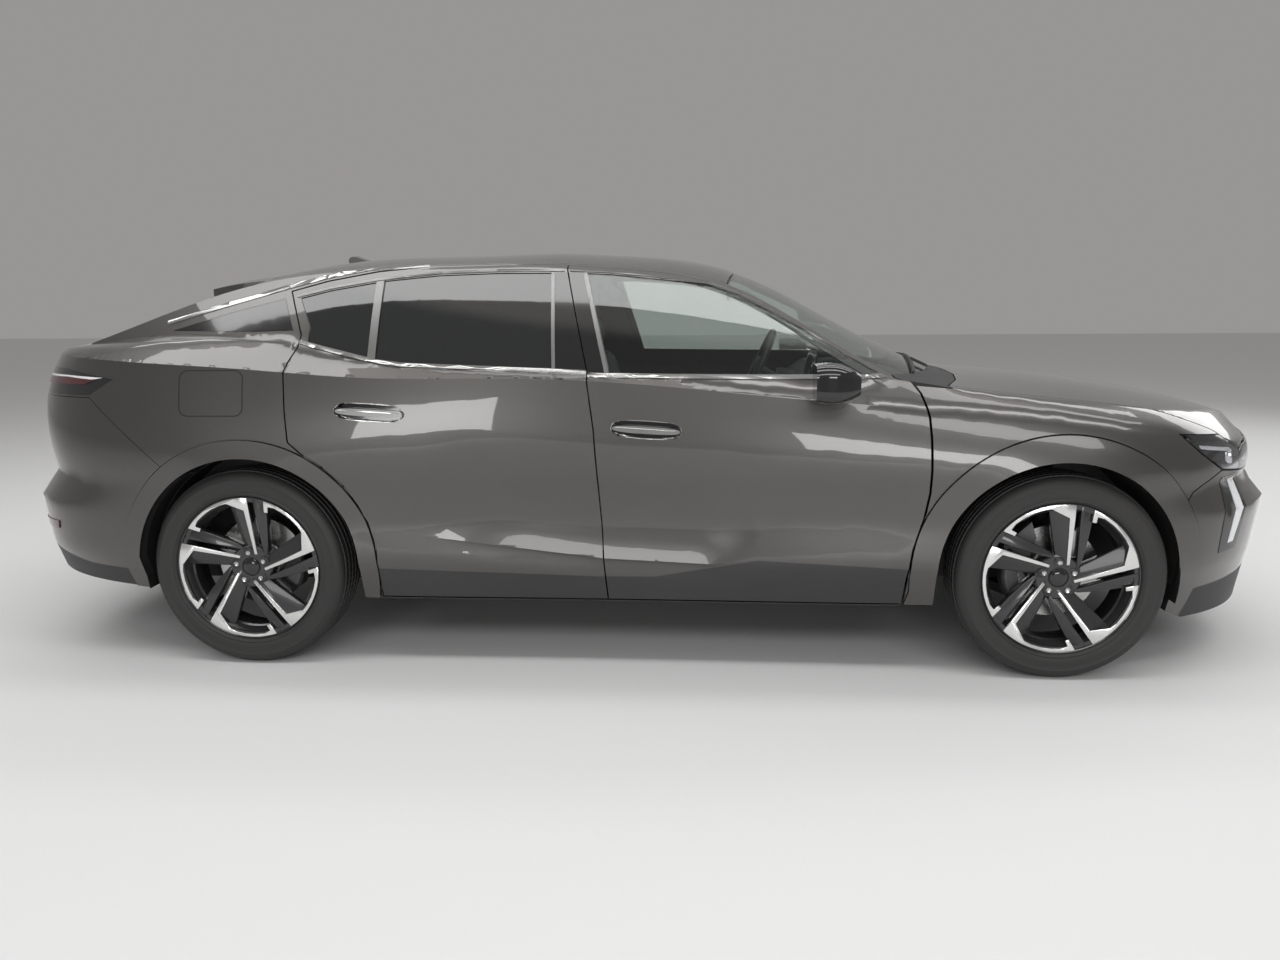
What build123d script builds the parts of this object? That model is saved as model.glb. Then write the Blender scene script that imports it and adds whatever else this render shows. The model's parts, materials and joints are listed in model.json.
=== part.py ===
from build123d import *
import math
import os

# ---------------------------------------------------------------- driving dimensions, millimetres
# Frame: X forward, Y left, Z up, origin on the ground under the middle of the body's length.
LENGTH = 4687.0
WIDTH = 1848.0
WHEELBASE = 2787.0
FRONT_AXLE_X = 1436.5
REAR_AXLE_X = FRONT_AXLE_X - WHEELBASE
HUB_Z = 350.0
TYRE_RADIUS = 350.0
TYRE_WIDTH = 205.0
WHEEL_FACE_Y = 890.0
TYRE_OUTER_Y = 902.0
RIM_RADIUS = 258.5
KINGPIN_Y = 740.0
GAP = 5.0
PANEL_DEPTH = 35.0
DOOR_DEPTH = 70.0
FRAME_DEPTH = 30.0
WALL_DEPTH = 115.0
PILLAR_DEPTH = 70.0
ARCH_RADIUS = 398.0
FRONT_ARCH_X = 1425.0
REAR_ARCH_X = -1336.0
UNDER_Z = 250.0
HALF = WIDTH / 2.0
NOSE_X = LENGTH / 2.0
TAIL_X = -LENGTH / 2.0

os.makedirs("parts", exist_ok=True)


# ---------------------------------------------------------------- outer skin of the lower body
# Each ring runs round the whole body: nose x, tail x, half widths at the front axle, at four
# stations along the doors and at the rear axle, and the height of the line along the body.
SIDE_STATIONS = (900.0, 300.0, -300.0, -900.0)
NOSE_POWER = 2.4
TAIL_POWER = 3.5
CORNER_WIDTHS = (0.0, 0.1, 0.3, 0.52, 0.72, 0.86, 0.945, 0.985)
RINGS = {
    "floor": (2300, -2290, (800, 830, 830, 830, 830, 800), ((0, 150),)),
    "blade": (2312, -2317, (HALF - 6, 912, 906, 906, 912, HALF - 6),
              ((-2325, 412), (-1350, 385), (1437, 385), (2322, 400))),
    "waist": (NOSE_X, TAIL_X, (HALF - 6, 898, 891, 891, 898, HALF - 6),
              ((-2343, 580), (-1350, 530), (1437, 530), (2343, 584))),
    "tuck": (2264, -2256, (HALF - 2, 905, 899, 900, 907, HALF - 2),
             ((-2343, 680), (-1350, 645), (1437, 640), (2343, 675))),
    "hip": (2271, -2283, (HALF, 912, 906, 908, 916, HALF),
            ((-2300, 860), (-1350, 770), (1437, 736), (2343, 735))),
    "shoulder": (2231, -2216, (868, 876, 882, 886, 886, 880),
                 ((-2216, 1098), (-1830, 1082), (-1600, 1066), (-1300, 1050), (-1120, 1022),
                  (-300, 1016), (0, 1004), (240, 980), (640, 938), (990, 917), (1173, 908),
                  (1437, 893), (1800, 850), (2231, 797))),
    "top": (2080, -2150, (540, 640, 640, 560, 580, 600), ((-2400, 1304), (2400, 1016))),
}


def interpolate(keys, x):
    if x <= keys[0][0]:
        return keys[0][1]
    for (xa, va), (xb, vb) in zip(keys, keys[1:]):
        if x <= xb:
            return va + (vb - va) * (x - xa) / (xb - xa)
    return keys[-1][1]


def ring_points(name, inset):
    nose, tail, widths, heights = RINGS[name]
    nose = nose - inset
    tail = tail + inset
    widths = [w - inset for w in widths]
    points = []
    for part in CORNER_WIDTHS:
        reach = (1 - part ** NOSE_POWER) ** (1 / NOSE_POWER)
        points.append((FRONT_AXLE_X + (nose - FRONT_AXLE_X) * reach, widths[0] * part))
    points.append((FRONT_AXLE_X, widths[0]))
    points += list(zip(SIDE_STATIONS, widths[1:5]))
    points.append((REAR_AXLE_X, widths[5]))
    for part in reversed(CORNER_WIDTHS):
        reach = (1 - part ** TAIL_POWER) ** (1 / TAIL_POWER)
        points.append((REAR_AXLE_X + (tail - REAR_AXLE_X) * reach, widths[5] * part))
    drop = min(inset, 100.0) if name in ("shoulder", "top") else 0.0
    return [Vector(x, y, interpolate(heights, x) - drop) for x, y in points]


def ring_wire(left):
    right = [Vector(v.X, -v.Y, v.Z) for v in reversed(left)]
    return Wire([Edge.make_spline(left), Edge.make_spline(right)])


def side_volume(inset):
    wires = {name: ring_wire(ring_points(name, inset)) for name in RINGS}
    faces = [Face(wires["floor"]), Face(wires["top"])]
    for group in (("floor", "blade"), ("blade", "waist"), ("waist", "tuck"), ("tuck", "hip", "shoulder"), ("shoulder", "top")):
        faces += Shell.make_loft([wires[name] for name in group]).faces()
    return Solid(Shell(faces))


# Top of the lower body: x, height on the centreline, height at 850 from it.
DECK = ((2420, 700, 610), (2290, 792, 724), (2168, 852, 795), (1931, 914, 852), (1608, 960, 905),
        (1300, 982, 940), (1050, 1000, 975), (750, 1045, 1010), (300, 1120, 1012), (-300, 1150, 1033),
        (-900, 1200, 1058), (-1500, 1240, 1112), (-1900, 1185, 1100), (-2100, 1132, 1094), (-2260, 1102, 1088),
        (-2420, 1080, 1066))


def crowned_volume(keys, inset, edge_y, power, half, floor_z):
    with BuildPart() as volume:
        for x, centre, edge in keys:
            fall = (centre - edge) / edge_y ** power
            ys = [half * n / 4.0 for n in range(-4, 5)]
            crown = [(y, centre - inset - fall * abs(y) ** power) for y in ys]
            with BuildSketch(Plane.YZ.offset(x)):
                with BuildLine():
                    Spline(*crown)
                    Polyline(crown[-1], (half, floor_z), (-half, floor_z), crown[0])
                make_face()
        loft()
    return volume.part


def lower_body(inset):
    with BuildPart() as volume:
        add(side_volume(inset))
        add(crowned_volume(DECK, inset, 850.0, 2.4, 1100.0, 0.0), mode=Mode.INTERSECT)
    return volume.part


# ---------------------------------------------------------------- cabin
# Plan outlines at three heights: x, half width.
CABIN_PLANS = (
    (940.0, ((1500, 640), (1300, 745), (900, 822), (300, 866), (-400, 874), (-1000, 856), (-1600, 800),
             (-2100, 720), (-2320, 680))),
    (1200.0, ((1300, 420), (1000, 600), (900, 640), (300, 735), (-400, 755), (-1000, 735), (-1600, 660),
              (-2100, 580), (-2320, 545))),
    (1480.0, ((1300, 200), (900, 380), (300, 530), (-400, 575), (-1000, 560), (-1600, 480), (-2100, 400),
              (-2320, 370))),
)
# x, height on the centreline, height at 600 from it.
CABIN_TOP = ((1500, 850, 770), (1180, 986, 910), (925, 1099, 1026), (658, 1239, 1160), (376, 1373, 1296),
             (103, 1433, 1363), (-300, 1458, 1396), (-900, 1447, 1390), (-1400, 1386, 1333),
             (-1700, 1294, 1244), (-2000, 1182, 1138), (-2260, 1086, 1056), (-2420, 1030, 1004))
EAR_TOP = ((-1200, 1420, 1366), (-1340, 1394, 1341), (-1400, 1389, 1337), (-1600, 1356, 1304), (-1700, 1338, 1286))


def cabin_sides(inset):
    with BuildPart() as volume:
        for z, keys in CABIN_PLANS:
            left = [(x, w - inset) for x, w in keys[:-1]]
            left.append((keys[-1][0] + inset, keys[-1][1] - inset))
            right = [(x, -w) for x, w in reversed(left)]
            with BuildSketch(Plane.XY.offset(z)):
                with BuildLine():
                    Spline(*left)
                    Line(left[-1], right[0])
                    Spline(*right)
                    Line(right[-1], left[0])
                make_face()
        loft()
        extrude(volume.faces().sort_by(Axis.Z)[0], amount=140)
    return volume.part


def tail_limit(inset):
    with BuildPart() as volume:
        outline = [Vector(v.X, v.Y, 0) for v in ring_points("shoulder", inset + 12.0)]
        with BuildSketch(Plane.XY):
            add(make_face(ring_wire(outline).edges(), mode=Mode.PRIVATE))
        extrude(amount=1700)
    return volume.part


def cabin(inset):
    with BuildPart() as volume:
        add(cabin_sides(inset))
        add(tail_limit(inset), mode=Mode.INTERSECT)
        add(crowned_volume(CABIN_TOP, inset, 600.0, 2.3, 1000.0, 0.0), mode=Mode.INTERSECT)
    return volume.part


# ---------------------------------------------------------------- prisms
def side_prism(points, y0, y1, openings=(), grow=0.0):
    with BuildPart() as prism:
        with BuildSketch(Plane.XZ.offset(-y0)):
            with BuildLine():
                Polyline(*points, close=True)
            make_face()
            if grow:
                offset(amount=grow, kind=Kind.INTERSECTION)
            for opening in openings:
                with BuildLine():
                    Polyline(*opening, close=True)
                make_face(mode=Mode.SUBTRACT)
        extrude(amount=-(y1 - y0))
    return prism.part


def plan_prism(points, z0, z1, grow=0.0):
    with BuildPart() as prism:
        with BuildSketch(Plane.XY.offset(z0)):
            with BuildLine():
                Polyline(*points, close=True)
            make_face()
            if grow:
                offset(amount=grow, kind=Kind.INTERSECTION)
        extrude(amount=z1 - z0)
    return prism.part


def both_sides(half_outline):
    return list(half_outline) + [(x, -y) for x, y in reversed(half_outline) if abs(y) > 0.01]


# ---------------------------------------------------------------- outlines, side view (x, z)
FRONT_DOOR = [(922, 252), (929, 350), (945, 450), (976, 550), (991, 640), (993, 720), (990, 820), (984, 890),
              (965, 960), (918, 1030), (640, 1176), (380, 1318), (262, 1356), (140, 1376), (-80, 1394),
              (-231, 1398), (-139, 1035), (-113, 850), (-74, 252)]
REAR_DOOR = [(-79, 252), (-118, 850), (-144, 1035), (-236, 1398), (-460, 1398),
             (-700, 1393), (-905, 1376), (-1090, 1344), (-1222, 1310), (-1160, 1160), (-1176, 1071), (-1169, 907),
             (-1160, 805), (-1116, 766), (-1048, 722), (-977, 654), (-911, 550), (-875, 432), (-872, 252)]
FRONT_WINDOW = [(897, 1020), (633, 1148), (365, 1290), (258, 1326), (-80, 1362), (-158, 1366), (-68, 1030),
                (380, 1024)]
REAR_WINDOW = [(-262, 1046), (-284, 1368), (-480, 1369), (-682, 1363), (-880, 1345), (-880, 1078), (-785, 1066)]
WEDGE_WINDOW = [(-908, 1084), (-908, 1341), (-1075, 1314), (-1186, 1288), (-1136, 1190), (-1134, 1135)]
QUARTER_WEDGE = [(-1246, 1286), (-1467, 1232), (-1670, 1175), (-1330, 1172), (-1198, 1176)]
FENDER = [(930, 252), (937, 350), (953, 450), (984, 550), (999, 640), (1001, 720), (998, 820), (992, 890),
          (973, 960), (925, 1036), (925, 1200), (1981, 1200), (1981, 817), (1796, 830), (1876, 762),
          (1964, 703), (1850, 640), (1797, 560), (1797, 230)]
FRONT_BUMPER = [(1800, 100), (1800, 560), (1853, 637), (1968, 700), (2100, 684), (2400, 684), (2400, 100)]
HEADLAMP = [(1806, 826), (1880, 765), (1971, 706), (2100, 688), (2400, 688), (2400, 762), (2150, 795),
            (1980, 813)]
NOSE_BAND = [(1984, 817), (2150, 799), (2400, 766), (2400, 1100), (1984, 1100)]
REAR_BUMPER = [(-1560, 100), (-1560, 665), (-1886, 951), (-2600, 951), (-2600, 100)]
LAMP_BAND = [(-2100, 950), (-2400, 950), (-2400, 1050), (-2100, 1050)]
PLATE = [(-2200, 610), (-2400, 610), (-2400, 735), (-2200, 735)]
TAIL_LAMP = [(-1788, 1016), (-1886, 960), (-2400, 956), (-2400, 1052), (-2004, 1049)]
SILL_TOP = 345.0

# ---------------------------------------------------------------- outlines, plan (x, y), left half
WINDSCREEN = [(1128, 0), (1110, 200), (1060, 400), (985, 560), (893, 680), (760, 662), (560, 612), (330, 552),
              (352, 300), (362, 0)]
ROOF = [(359, 0), (349, 300), (326, 545), (100, 548), (-300, 560), (-900, 552), (-1340, 530), (-1344, 0)]
TAILGATE = [(-1350, 0), (-1350, 535), (-1500, 545), (-1800, 590), (-2050, 640), (-2150, 690), (-2400, 690),
            (-2400, 0)]
BODY_SIDE = [(918, 1100), (918, 790), (890, 686), (760, 667), (560, 617), (330, 557), (300, 548), (100, 551),
             (-300, 563), (-900, 555), (-1340, 534), (-1345, 541), (-1500, 551), (-1800, 596), (-2050, 646),
             (-2150, 696), (-2450, 696), (-2450, 1100)]
REAR_GLASS = [(-1610, 0), (-1606, 300), (-1596, 470), (-1800, 510), (-2020, 545), (-2060, 400), (-2075, 0)]
BONNET = [(1205, 0), (1190, 300), (1150, 520), (1092, 690), (1084, 722), (1300, 738), (1600, 744), (1850, 738),
          (1990, 722), (2060, 680), (2125, 580), (2165, 430), (2186, 220), (2192, 0)]
FENDER_PLAN = [(920, 1100), (920, 795), (1078, 795), (1078, 727), (1300, 743), (1600, 749), (1850, 743),
               (1993, 727), (2064, 694), (2110, 630), (2300, 630), (2300, 1100)]
COWL = [(1200, 0), (1185, 300), (1145, 520), (1087, 690), (1075, 727), (1075, 775), (1000, 757), (924, 741),
        (896, 684), (988, 562), (1063, 402), (1113, 202), (1131, 0)]
EAR = [(-1352, 395), (-1352, 528), (-1480, 534), (-1582, 520), (-1596, 470), (-1490, 400)]
FRONT_DOOR_PLAN = [(1100, 1100), (1100, 785), (918, 748), (760, 712), (600, 672), (400, 625), (262, 602), (140, 590),
                   (-300, 590), (-300, 1100)]
TAILGATE_Z = 806.0

# ---------------------------------------------------------------- outlines, front view (y, z), left half
GRILLE = [(0, 740), (0, 520), (430, 520), (520, 560), (560, 640), (430, 740)]
INTAKE = [(0, 250), (470, 250), (400, 400), (0, 400)]


# ---------------------------------------------------------------- nested skins
low_outer = lower_body(0.0)
cabin_outer = cabin(0.0)
low_panel = lower_body(PANEL_DEPTH)
low_lamp = lower_body(60.0)
outer = low_outer + cabin_outer
panel_inner = low_panel + cabin(20.0)
door_inner = lower_body(DOOR_DEPTH) + cabin(FRAME_DEPTH)
wall_outer = lower_body(DOOR_DEPTH + GAP) + cabin(FRAME_DEPTH + GAP)
wall_inner = lower_body(WALL_DEPTH) + cabin(PILLAR_DEPTH)
glass_outer = cabin(4.0)
glass_inner = cabin(9.0)
trim_outer = lower_body(-7.0)
trim_inner = lower_body(12.0)
handle_outer = lower_body(-11.0)
handle_inner = lower_body(2.0)
pocket_floor = lower_body(20.0)
band_floor = lower_body(26.0)


def block(x0, x1, y0, y1, z0, z1):
    with BuildPart() as volume:
        with Locations(((x0 + x1) / 2, (y0 + y1) / 2, (z0 + z1) / 2)):
            Box(x1 - x0, y1 - y0, z1 - z0)
    return volume.part


def wheel_space(x, radius, y_inner, y_outer):
    with BuildPart() as space:
        with BuildSketch(Plane.XZ.offset(-y_inner)):
            with Locations((x, HUB_Z)):
                Circle(radius)
            with Locations((x, HUB_Z - radius / 2)):
                Rectangle(2 * radius, radius)
        extrude(amount=-(y_outer - y_inner))
    return space.part


def trim_disc(x, radius, foot, grow=0.0):
    with BuildPart() as disc:
        with BuildSketch(Plane.XZ.offset(-600)):
            with Locations((x, HUB_Z)):
                Circle(radius)
            with BuildLine():
                Polyline(*foot, close=True)
            make_face()
            if grow:
                offset(amount=grow, kind=Kind.INTERSECTION)
        extrude(amount=-500)
    return disc.part


def handle_slot(x, z, length, height):
    with BuildPart() as slot:
        with BuildSketch(Plane.XZ.offset(-800)):
            with Locations((x, z)):
                SlotOverall(length, height, rotation=-HANDLE_TILT)
        extrude(amount=-200)
    return slot.part


front_arch = wheel_space(FRONT_ARCH_X, ARCH_RADIUS, 505.0, 1100.0)
rear_arch = wheel_space(REAR_ARCH_X, ARCH_RADIUS, 640.0, 1100.0)
FRONT_TRIM_FOOT = [(1180, 700), (1020, 560), (930, 252), (1100, 200), (1425, 350), (1790, 200), (1830, 560)]
REAR_TRIM_FOOT = [(-1180, 700), (-945, 520), (-882, 252), (-1000, 200), (-1336, 350), (-1720, 200), (-1745, 500)]
front_trim_disc = trim_disc(FRONT_ARCH_X, 484.0, FRONT_TRIM_FOOT)
rear_trim_disc = trim_disc(REAR_ARCH_X, 461.0, REAR_TRIM_FOOT)
front_trim_pocket = trim_disc(FRONT_ARCH_X, 484.0, FRONT_TRIM_FOOT, 4.0) - trim_inner
rear_trim_pocket = trim_disc(REAR_ARCH_X, 461.0, REAR_TRIM_FOOT, 4.0) - trim_inner
under = side_prism([(2500, 195), (1900, 178), (1780, 235), (980, 250), (-900, 245), (-1700, 262), (-2180, 300),
                    (-2500, 320), (-2500, -50), (2500, -50)], -1200, 1200)

# ---------------------------------------------------------------- doors
HANDLE_TILT = 3.5
front_door_plan = plan_prism(FRONT_DOOR_PLAN, 200, 1500)
with BuildPart() as front_door_left:
    add(outer)
    add(side_prism(FRONT_DOOR, 590, 1100, [FRONT_WINDOW]), mode=Mode.INTERSECT)
    add(front_door_plan, mode=Mode.INTERSECT)
    add(door_inner, mode=Mode.SUBTRACT)
    add(under, mode=Mode.SUBTRACT)
    add(handle_slot(62, 848, 226, 54) - pocket_floor, mode=Mode.SUBTRACT)
    add((handle_outer & handle_slot(62, 848, 240, 24)) - handle_inner)
with BuildPart() as rear_door_left:
    add(outer)
    add(side_prism(REAR_DOOR, 590, 1100, [REAR_WINDOW, WEDGE_WINDOW]), mode=Mode.INTERSECT)
    add(door_inner, mode=Mode.SUBTRACT)
    add(under, mode=Mode.SUBTRACT)
    add(handle_slot(-878, 905, 226, 54) - pocket_floor, mode=Mode.SUBTRACT)
    add((handle_outer & handle_slot(-878, 905, 240, 24)) - handle_inner)
with BuildPart() as front_door_glass_left:
    add(glass_outer)
    add(side_prism(FRONT_WINDOW, 590, 1100), mode=Mode.INTERSECT)
    add(front_door_plan, mode=Mode.INTERSECT)
    add(glass_inner, mode=Mode.SUBTRACT)
with BuildPart() as rear_door_glass_left:
    add(glass_outer)
    add(side_prism(REAR_WINDOW, 500, 1100) + side_prism(WEDGE_WINDOW, 500, 1100), mode=Mode.INTERSECT)
    add(glass_inner, mode=Mode.SUBTRACT)
with BuildPart() as door_mirror_left:
    for x, y, z, width, height in ((603, 1003, 1012, 150, 112), (680, 1000, 1010, 156, 118), (742, 996, 1008, 96, 66)):
        with BuildSketch(Plane.YZ.offset(x)):
            with Locations((y, z)):
                RectangleRounded(width, height, height * 0.32)
    loft()
    with BuildSketch(Plane.XZ.offset(-845)):
        with BuildLine():
            Polyline((622, 962), (706, 962), (690, 1000), (640, 1000), close=True)
        make_face()
    extrude(amount=-110)
    add(outer, mode=Mode.SUBTRACT)

# ---------------------------------------------------------------- body sides
side_zone = plan_prism(BODY_SIDE, 225, 1500) - block(-2600, 1100, 0, 1100, 200, UNDER_Z - 6)
front_door_zone = side_prism(FRONT_DOOR, 584, 1100, grow=GAP) - wall_outer
front_door_zone = front_door_zone & plan_prism(FRONT_DOOR_PLAN, 200, 1500, grow=GAP)
rear_door_zone = side_prism(REAR_DOOR, 584, 1100, grow=GAP) - wall_outer
above_sill = block(-2000, 1100, 0, 1100, SILL_TOP, 1500)
front_aperture = side_prism(FRONT_DOOR, 500, 1100, grow=-42.0) & above_sill
rear_aperture = side_prism(REAR_DOOR, 500, 1100, grow=-42.0) & above_sill
tailgate_zone = plan_prism(both_sides(TAILGATE), TAILGATE_Z - GAP, 1500, grow=GAP)
with BuildPart() as body_sides:
    add(outer)
    add(side_zone, mode=Mode.INTERSECT)
    add(wall_inner, mode=Mode.SUBTRACT)
    for opening in (front_door_zone, rear_door_zone, front_aperture, rear_aperture, rear_arch):
        add(opening, mode=Mode.SUBTRACT)
    add(side_prism(REAR_BUMPER, 0, 1100, grow=2.0), mode=Mode.SUBTRACT)
    add(side_prism(TAIL_LAMP, 690, 1100), mode=Mode.SUBTRACT)
    add(rear_trim_pocket, mode=Mode.SUBTRACT)
    add(side_prism(QUARTER_WEDGE, 500, 1100, grow=1.0) - cabin(10.0), mode=Mode.SUBTRACT)
    mirror(about=Plane.XZ)
with BuildPart() as quarter_trims:
    add(cabin_outer)
    add(side_prism(QUARTER_WEDGE, 500, 1100), mode=Mode.INTERSECT)
    add(glass_inner, mode=Mode.SUBTRACT)
    mirror(about=Plane.XZ)

# ---------------------------------------------------------------- skins ahead of the doors
bonnet_zone = plan_prism(both_sides(BONNET), 600, 1200, grow=GAP)
with BuildPart() as front_fenders:
    add(low_outer)
    add(plan_prism(FENDER_PLAN, 225, 1200), mode=Mode.INTERSECT)
    add(side_prism(FENDER, 400, 1100), mode=Mode.INTERSECT)
    add(low_panel, mode=Mode.SUBTRACT)
    add(front_arch, mode=Mode.SUBTRACT)
    add(front_trim_pocket, mode=Mode.SUBTRACT)
    mirror(about=Plane.XZ)
with BuildPart() as arch_trims:
    add(((trim_outer & front_trim_disc) - trim_inner) - front_arch - under)
    add(((trim_outer & rear_trim_disc) - trim_inner) - rear_arch - under)
    mirror(about=Plane.XZ)
with BuildPart() as bonnet:
    add(low_outer)
    add(plan_prism(BONNET, 600, 1200), mode=Mode.INTERSECT)
    add(low_panel, mode=Mode.SUBTRACT)
    mirror(about=Plane.XZ)
with BuildPart() as cowl_panel:
    add(outer)
    add(plan_prism(COWL, 800, 1200), mode=Mode.INTERSECT)
    add(panel_inner, mode=Mode.SUBTRACT)
    mirror(about=Plane.XZ)
with BuildPart() as headlamps:
    add(low_outer)
    add(side_prism(HEADLAMP, 430, 1100), mode=Mode.INTERSECT)
    add(low_lamp, mode=Mode.SUBTRACT)
    add(bonnet_zone, mode=Mode.SUBTRACT)
    mirror(about=Plane.XZ)
with BuildPart() as face_zone:
    for outline in (GRILLE, INTAKE):
        with BuildSketch(Plane.YZ.offset(1900)):
            with BuildLine():
                Polyline(*outline, close=True)
            make_face()
        extrude(amount=600)
nose_zone = side_prism(FRONT_BUMPER, 0, 1100) + side_prism(NOSE_BAND, 0, 1100) + block(2000, 2400, 0, 430, 680, 830)
with BuildPart() as front_bumper:
    add(low_outer)
    add(nose_zone, mode=Mode.INTERSECT)
    for space in (low_panel, bonnet_zone, under, front_arch, face_zone.part, front_trim_pocket):
        add(space, mode=Mode.SUBTRACT)
    mirror(about=Plane.XZ)
with BuildPart() as grille:
    add(low_panel)
    add(block(1800, 2400, 0, 700, 200, 800), mode=Mode.INTERSECT)
    add(lower_body(50.0), mode=Mode.SUBTRACT)
    add(face_zone.part, mode=Mode.INTERSECT)
    add(headlamps.part, mode=Mode.SUBTRACT)
    mirror(about=Plane.XZ)
with BuildPart() as rear_bumper:
    add(low_outer)
    add(side_prism(REAR_BUMPER, 0, 1100), mode=Mode.INTERSECT)
    for space in (lower_body(40.0), under, rear_arch, rear_trim_pocket, tailgate_zone):
        add(space, mode=Mode.SUBTRACT)
    add(side_prism(PLATE, 0, 262) - pocket_floor, mode=Mode.SUBTRACT)
    mirror(about=Plane.XZ)
with BuildPart() as tail_lamps:
    add(low_outer)
    add(side_prism(TAIL_LAMP, 697, 1100), mode=Mode.INTERSECT)
    add(low_lamp, mode=Mode.SUBTRACT)
    mirror(about=Plane.XZ)

# ---------------------------------------------------------------- glass, roof and tailgate
rear_glass_zone = plan_prism(REAR_GLASS, 1000, 1500)
with BuildPart() as windscreen:
    add(glass_outer)
    add(plan_prism(WINDSCREEN, 900, 1500), mode=Mode.INTERSECT)
    add(glass_inner, mode=Mode.SUBTRACT)
    mirror(about=Plane.XZ)
with BuildPart() as roof_panel:
    add(outer)
    add(plan_prism(ROOF, 1200, 1500), mode=Mode.INTERSECT)
    add(panel_inner, mode=Mode.SUBTRACT)
    mirror(about=Plane.XZ)
    with BuildSketch(Plane.XZ.offset(-14)):
        with BuildLine():
            Polyline((-1100, 1400), (-1245, 1380), (-1248, 1448), (-1236, 1460), (-1212, 1460), (-1100, 1420),
                     close=True)
        make_face()
    extrude(amount=28, taper=8)
with BuildPart() as ears:
    add(crowned_volume(EAR_TOP, 0.0, 600.0, 2.3, 1000.0, 0.0))
    add(plan_prism(EAR, 1150, 1500), mode=Mode.INTERSECT)
with BuildPart() as tailgate:
    add(outer)
    add(ears.part)
    add(plan_prism(TAILGATE, TAILGATE_Z, 1500), mode=Mode.INTERSECT)
    add(door_inner, mode=Mode.SUBTRACT)
    add(rear_glass_zone, mode=Mode.SUBTRACT)
    add(side_prism(LAMP_BAND, 0, 900) - band_floor, mode=Mode.SUBTRACT)
    mirror(about=Plane.XZ)
with BuildPart() as tailgate_glass:
    add(glass_outer)
    add(rear_glass_zone, mode=Mode.INTERSECT)
    add(glass_inner, mode=Mode.SUBTRACT)
    mirror(about=Plane.XZ)


# ---------------------------------------------------------------- wheels
# y measured outward from the wheel's outer face, then radius
TYRE_PROFILE = [(-15, 259), (4, 264), (12, 290), (6, 330), (-16, 347), (-60, TYRE_RADIUS), (-145, TYRE_RADIUS),
                (-190, 330), (-193, 290), (-186, 262), (-172, 254), (-172, 247), (-15, 247)]
RIM_PROFILE = [(0, RIM_RADIUS), (-8, RIM_RADIUS), (-14, 246.9), (-172, 246.9), (-186, 256), (-190, 256), (-190, 250),
               (-178, 238), (-30, 232), (-10, 240), (0, 246)]
HUB_PROFILE = [(-24, 0), (-24, 62), (-58, 78), (-140, 78), (-140, 26), (-70, 26), (-70, 0)]
DISC_PROFILE = [(-112, 70), (-112, 160), (-134, 160), (-134, 70)]
SPOKES = 5
SPOKE_TURN = 2.0


def tyre_solid():
    with BuildPart() as tyre:
        with BuildSketch(Plane.YZ):
            with BuildLine():
                Polyline(*TYRE_PROFILE, close=True)
            make_face()
        revolve(axis=Axis.Y)
    return tyre.part


def spoke():
    with BuildPart() as fork:
        with BuildSketch(Plane.XZ.offset(52)):
            with BuildLine():
                Polyline((-60, 24), (-92, 226), (-46, 233), (-9, 70), (9, 70), (46, 233), (92, 226), (60, 24),
                         close=True)
            make_face()
        extrude(amount=-46)
    return fork.part


def rim_solid():
    with BuildPart() as rim:
        for profile in (RIM_PROFILE, HUB_PROFILE, DISC_PROFILE):
            with BuildSketch(Plane.YZ):
                with BuildLine():
                    Polyline(*profile, close=True)
                make_face()
            revolve(axis=Axis.Y)
        for n in range(SPOKES):
            add(spoke().rotate(Axis.Y, 360.0 / SPOKES * n + SPOKE_TURN))
    return rim.part


rim = rim_solid()
tyre = tyre_solid()

# ---------------------------------------------------------------- what carries the wheels
hub_plane = Plane.XZ.offset(-(WHEEL_FACE_Y - 146))
with BuildPart() as knuckle:
    with BuildSketch(Plane.XZ.offset(-(WHEEL_FACE_Y - 78))):
        Circle(20)
    extrude(amount=70)
    with BuildSketch(hub_plane):
        Circle(62)
    extrude(amount=40)
    with BuildSketch(hub_plane):
        with BuildLine():
            Polyline((-45, 0), (-40, -118), (40, -118), (45, 0), (30, 100), (-30, 100), close=True)
        make_face()
        with BuildLine():
            Polyline((-45, 0), (-128, 34), (-100, 115), (-30, 60), close=True)
        make_face()
    extrude(amount=34)
    with BuildSketch(Plane.XZ.offset(-(WHEEL_FACE_Y - 88))):
        with BuildLine():
            Polyline((-78, 175), (-168, 90), (-130, 30), (-78, 60), (-60, 120), close=True)
        make_face()
    extrude(amount=58)
    with BuildSketch(Plane.XZ.offset(-(WHEEL_FACE_Y - 107))):
        Circle(166)
        Circle(30, mode=Mode.SUBTRACT)
    extrude(amount=32, mode=Mode.SUBTRACT)
with BuildPart() as knuckle_left:
    add(knuckle.part.moved(Location((FRONT_AXLE_X, 0, HUB_Z))))

with BuildPart() as rear_axle:
    with BuildSketch(Plane.XZ.offset(-(WHEEL_FACE_Y - 78))):
        with Locations((REAR_AXLE_X, HUB_Z)):
            Circle(20)
    extrude(amount=70)
    with BuildSketch(hub_plane):
        with Locations((REAR_AXLE_X, HUB_Z)):
            Circle(62)
    extrude(amount=60)
    with BuildSketch(Plane.XZ.offset(-685)):
        with BuildLine():
            Polyline((REAR_AXLE_X - 60, 300), (REAR_AXLE_X - 60, 390), (REAR_AXLE_X + 60, 390),
                     (-870, 308), (-850, 262), (REAR_AXLE_X + 60, 300), close=True)
        make_face()
    extrude(amount=60)
    with BuildSketch(Plane.XZ):
        with Locations((REAR_AXLE_X + 170, 335)):
            Rectangle(110, 70)
    extrude(amount=-660)
    with BuildSketch(Plane.XY.offset(380)):
        with Locations((REAR_AXLE_X - 20, 580)):
            Circle(48)
    extrude(amount=45)
    mirror(about=Plane.XZ)

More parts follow.
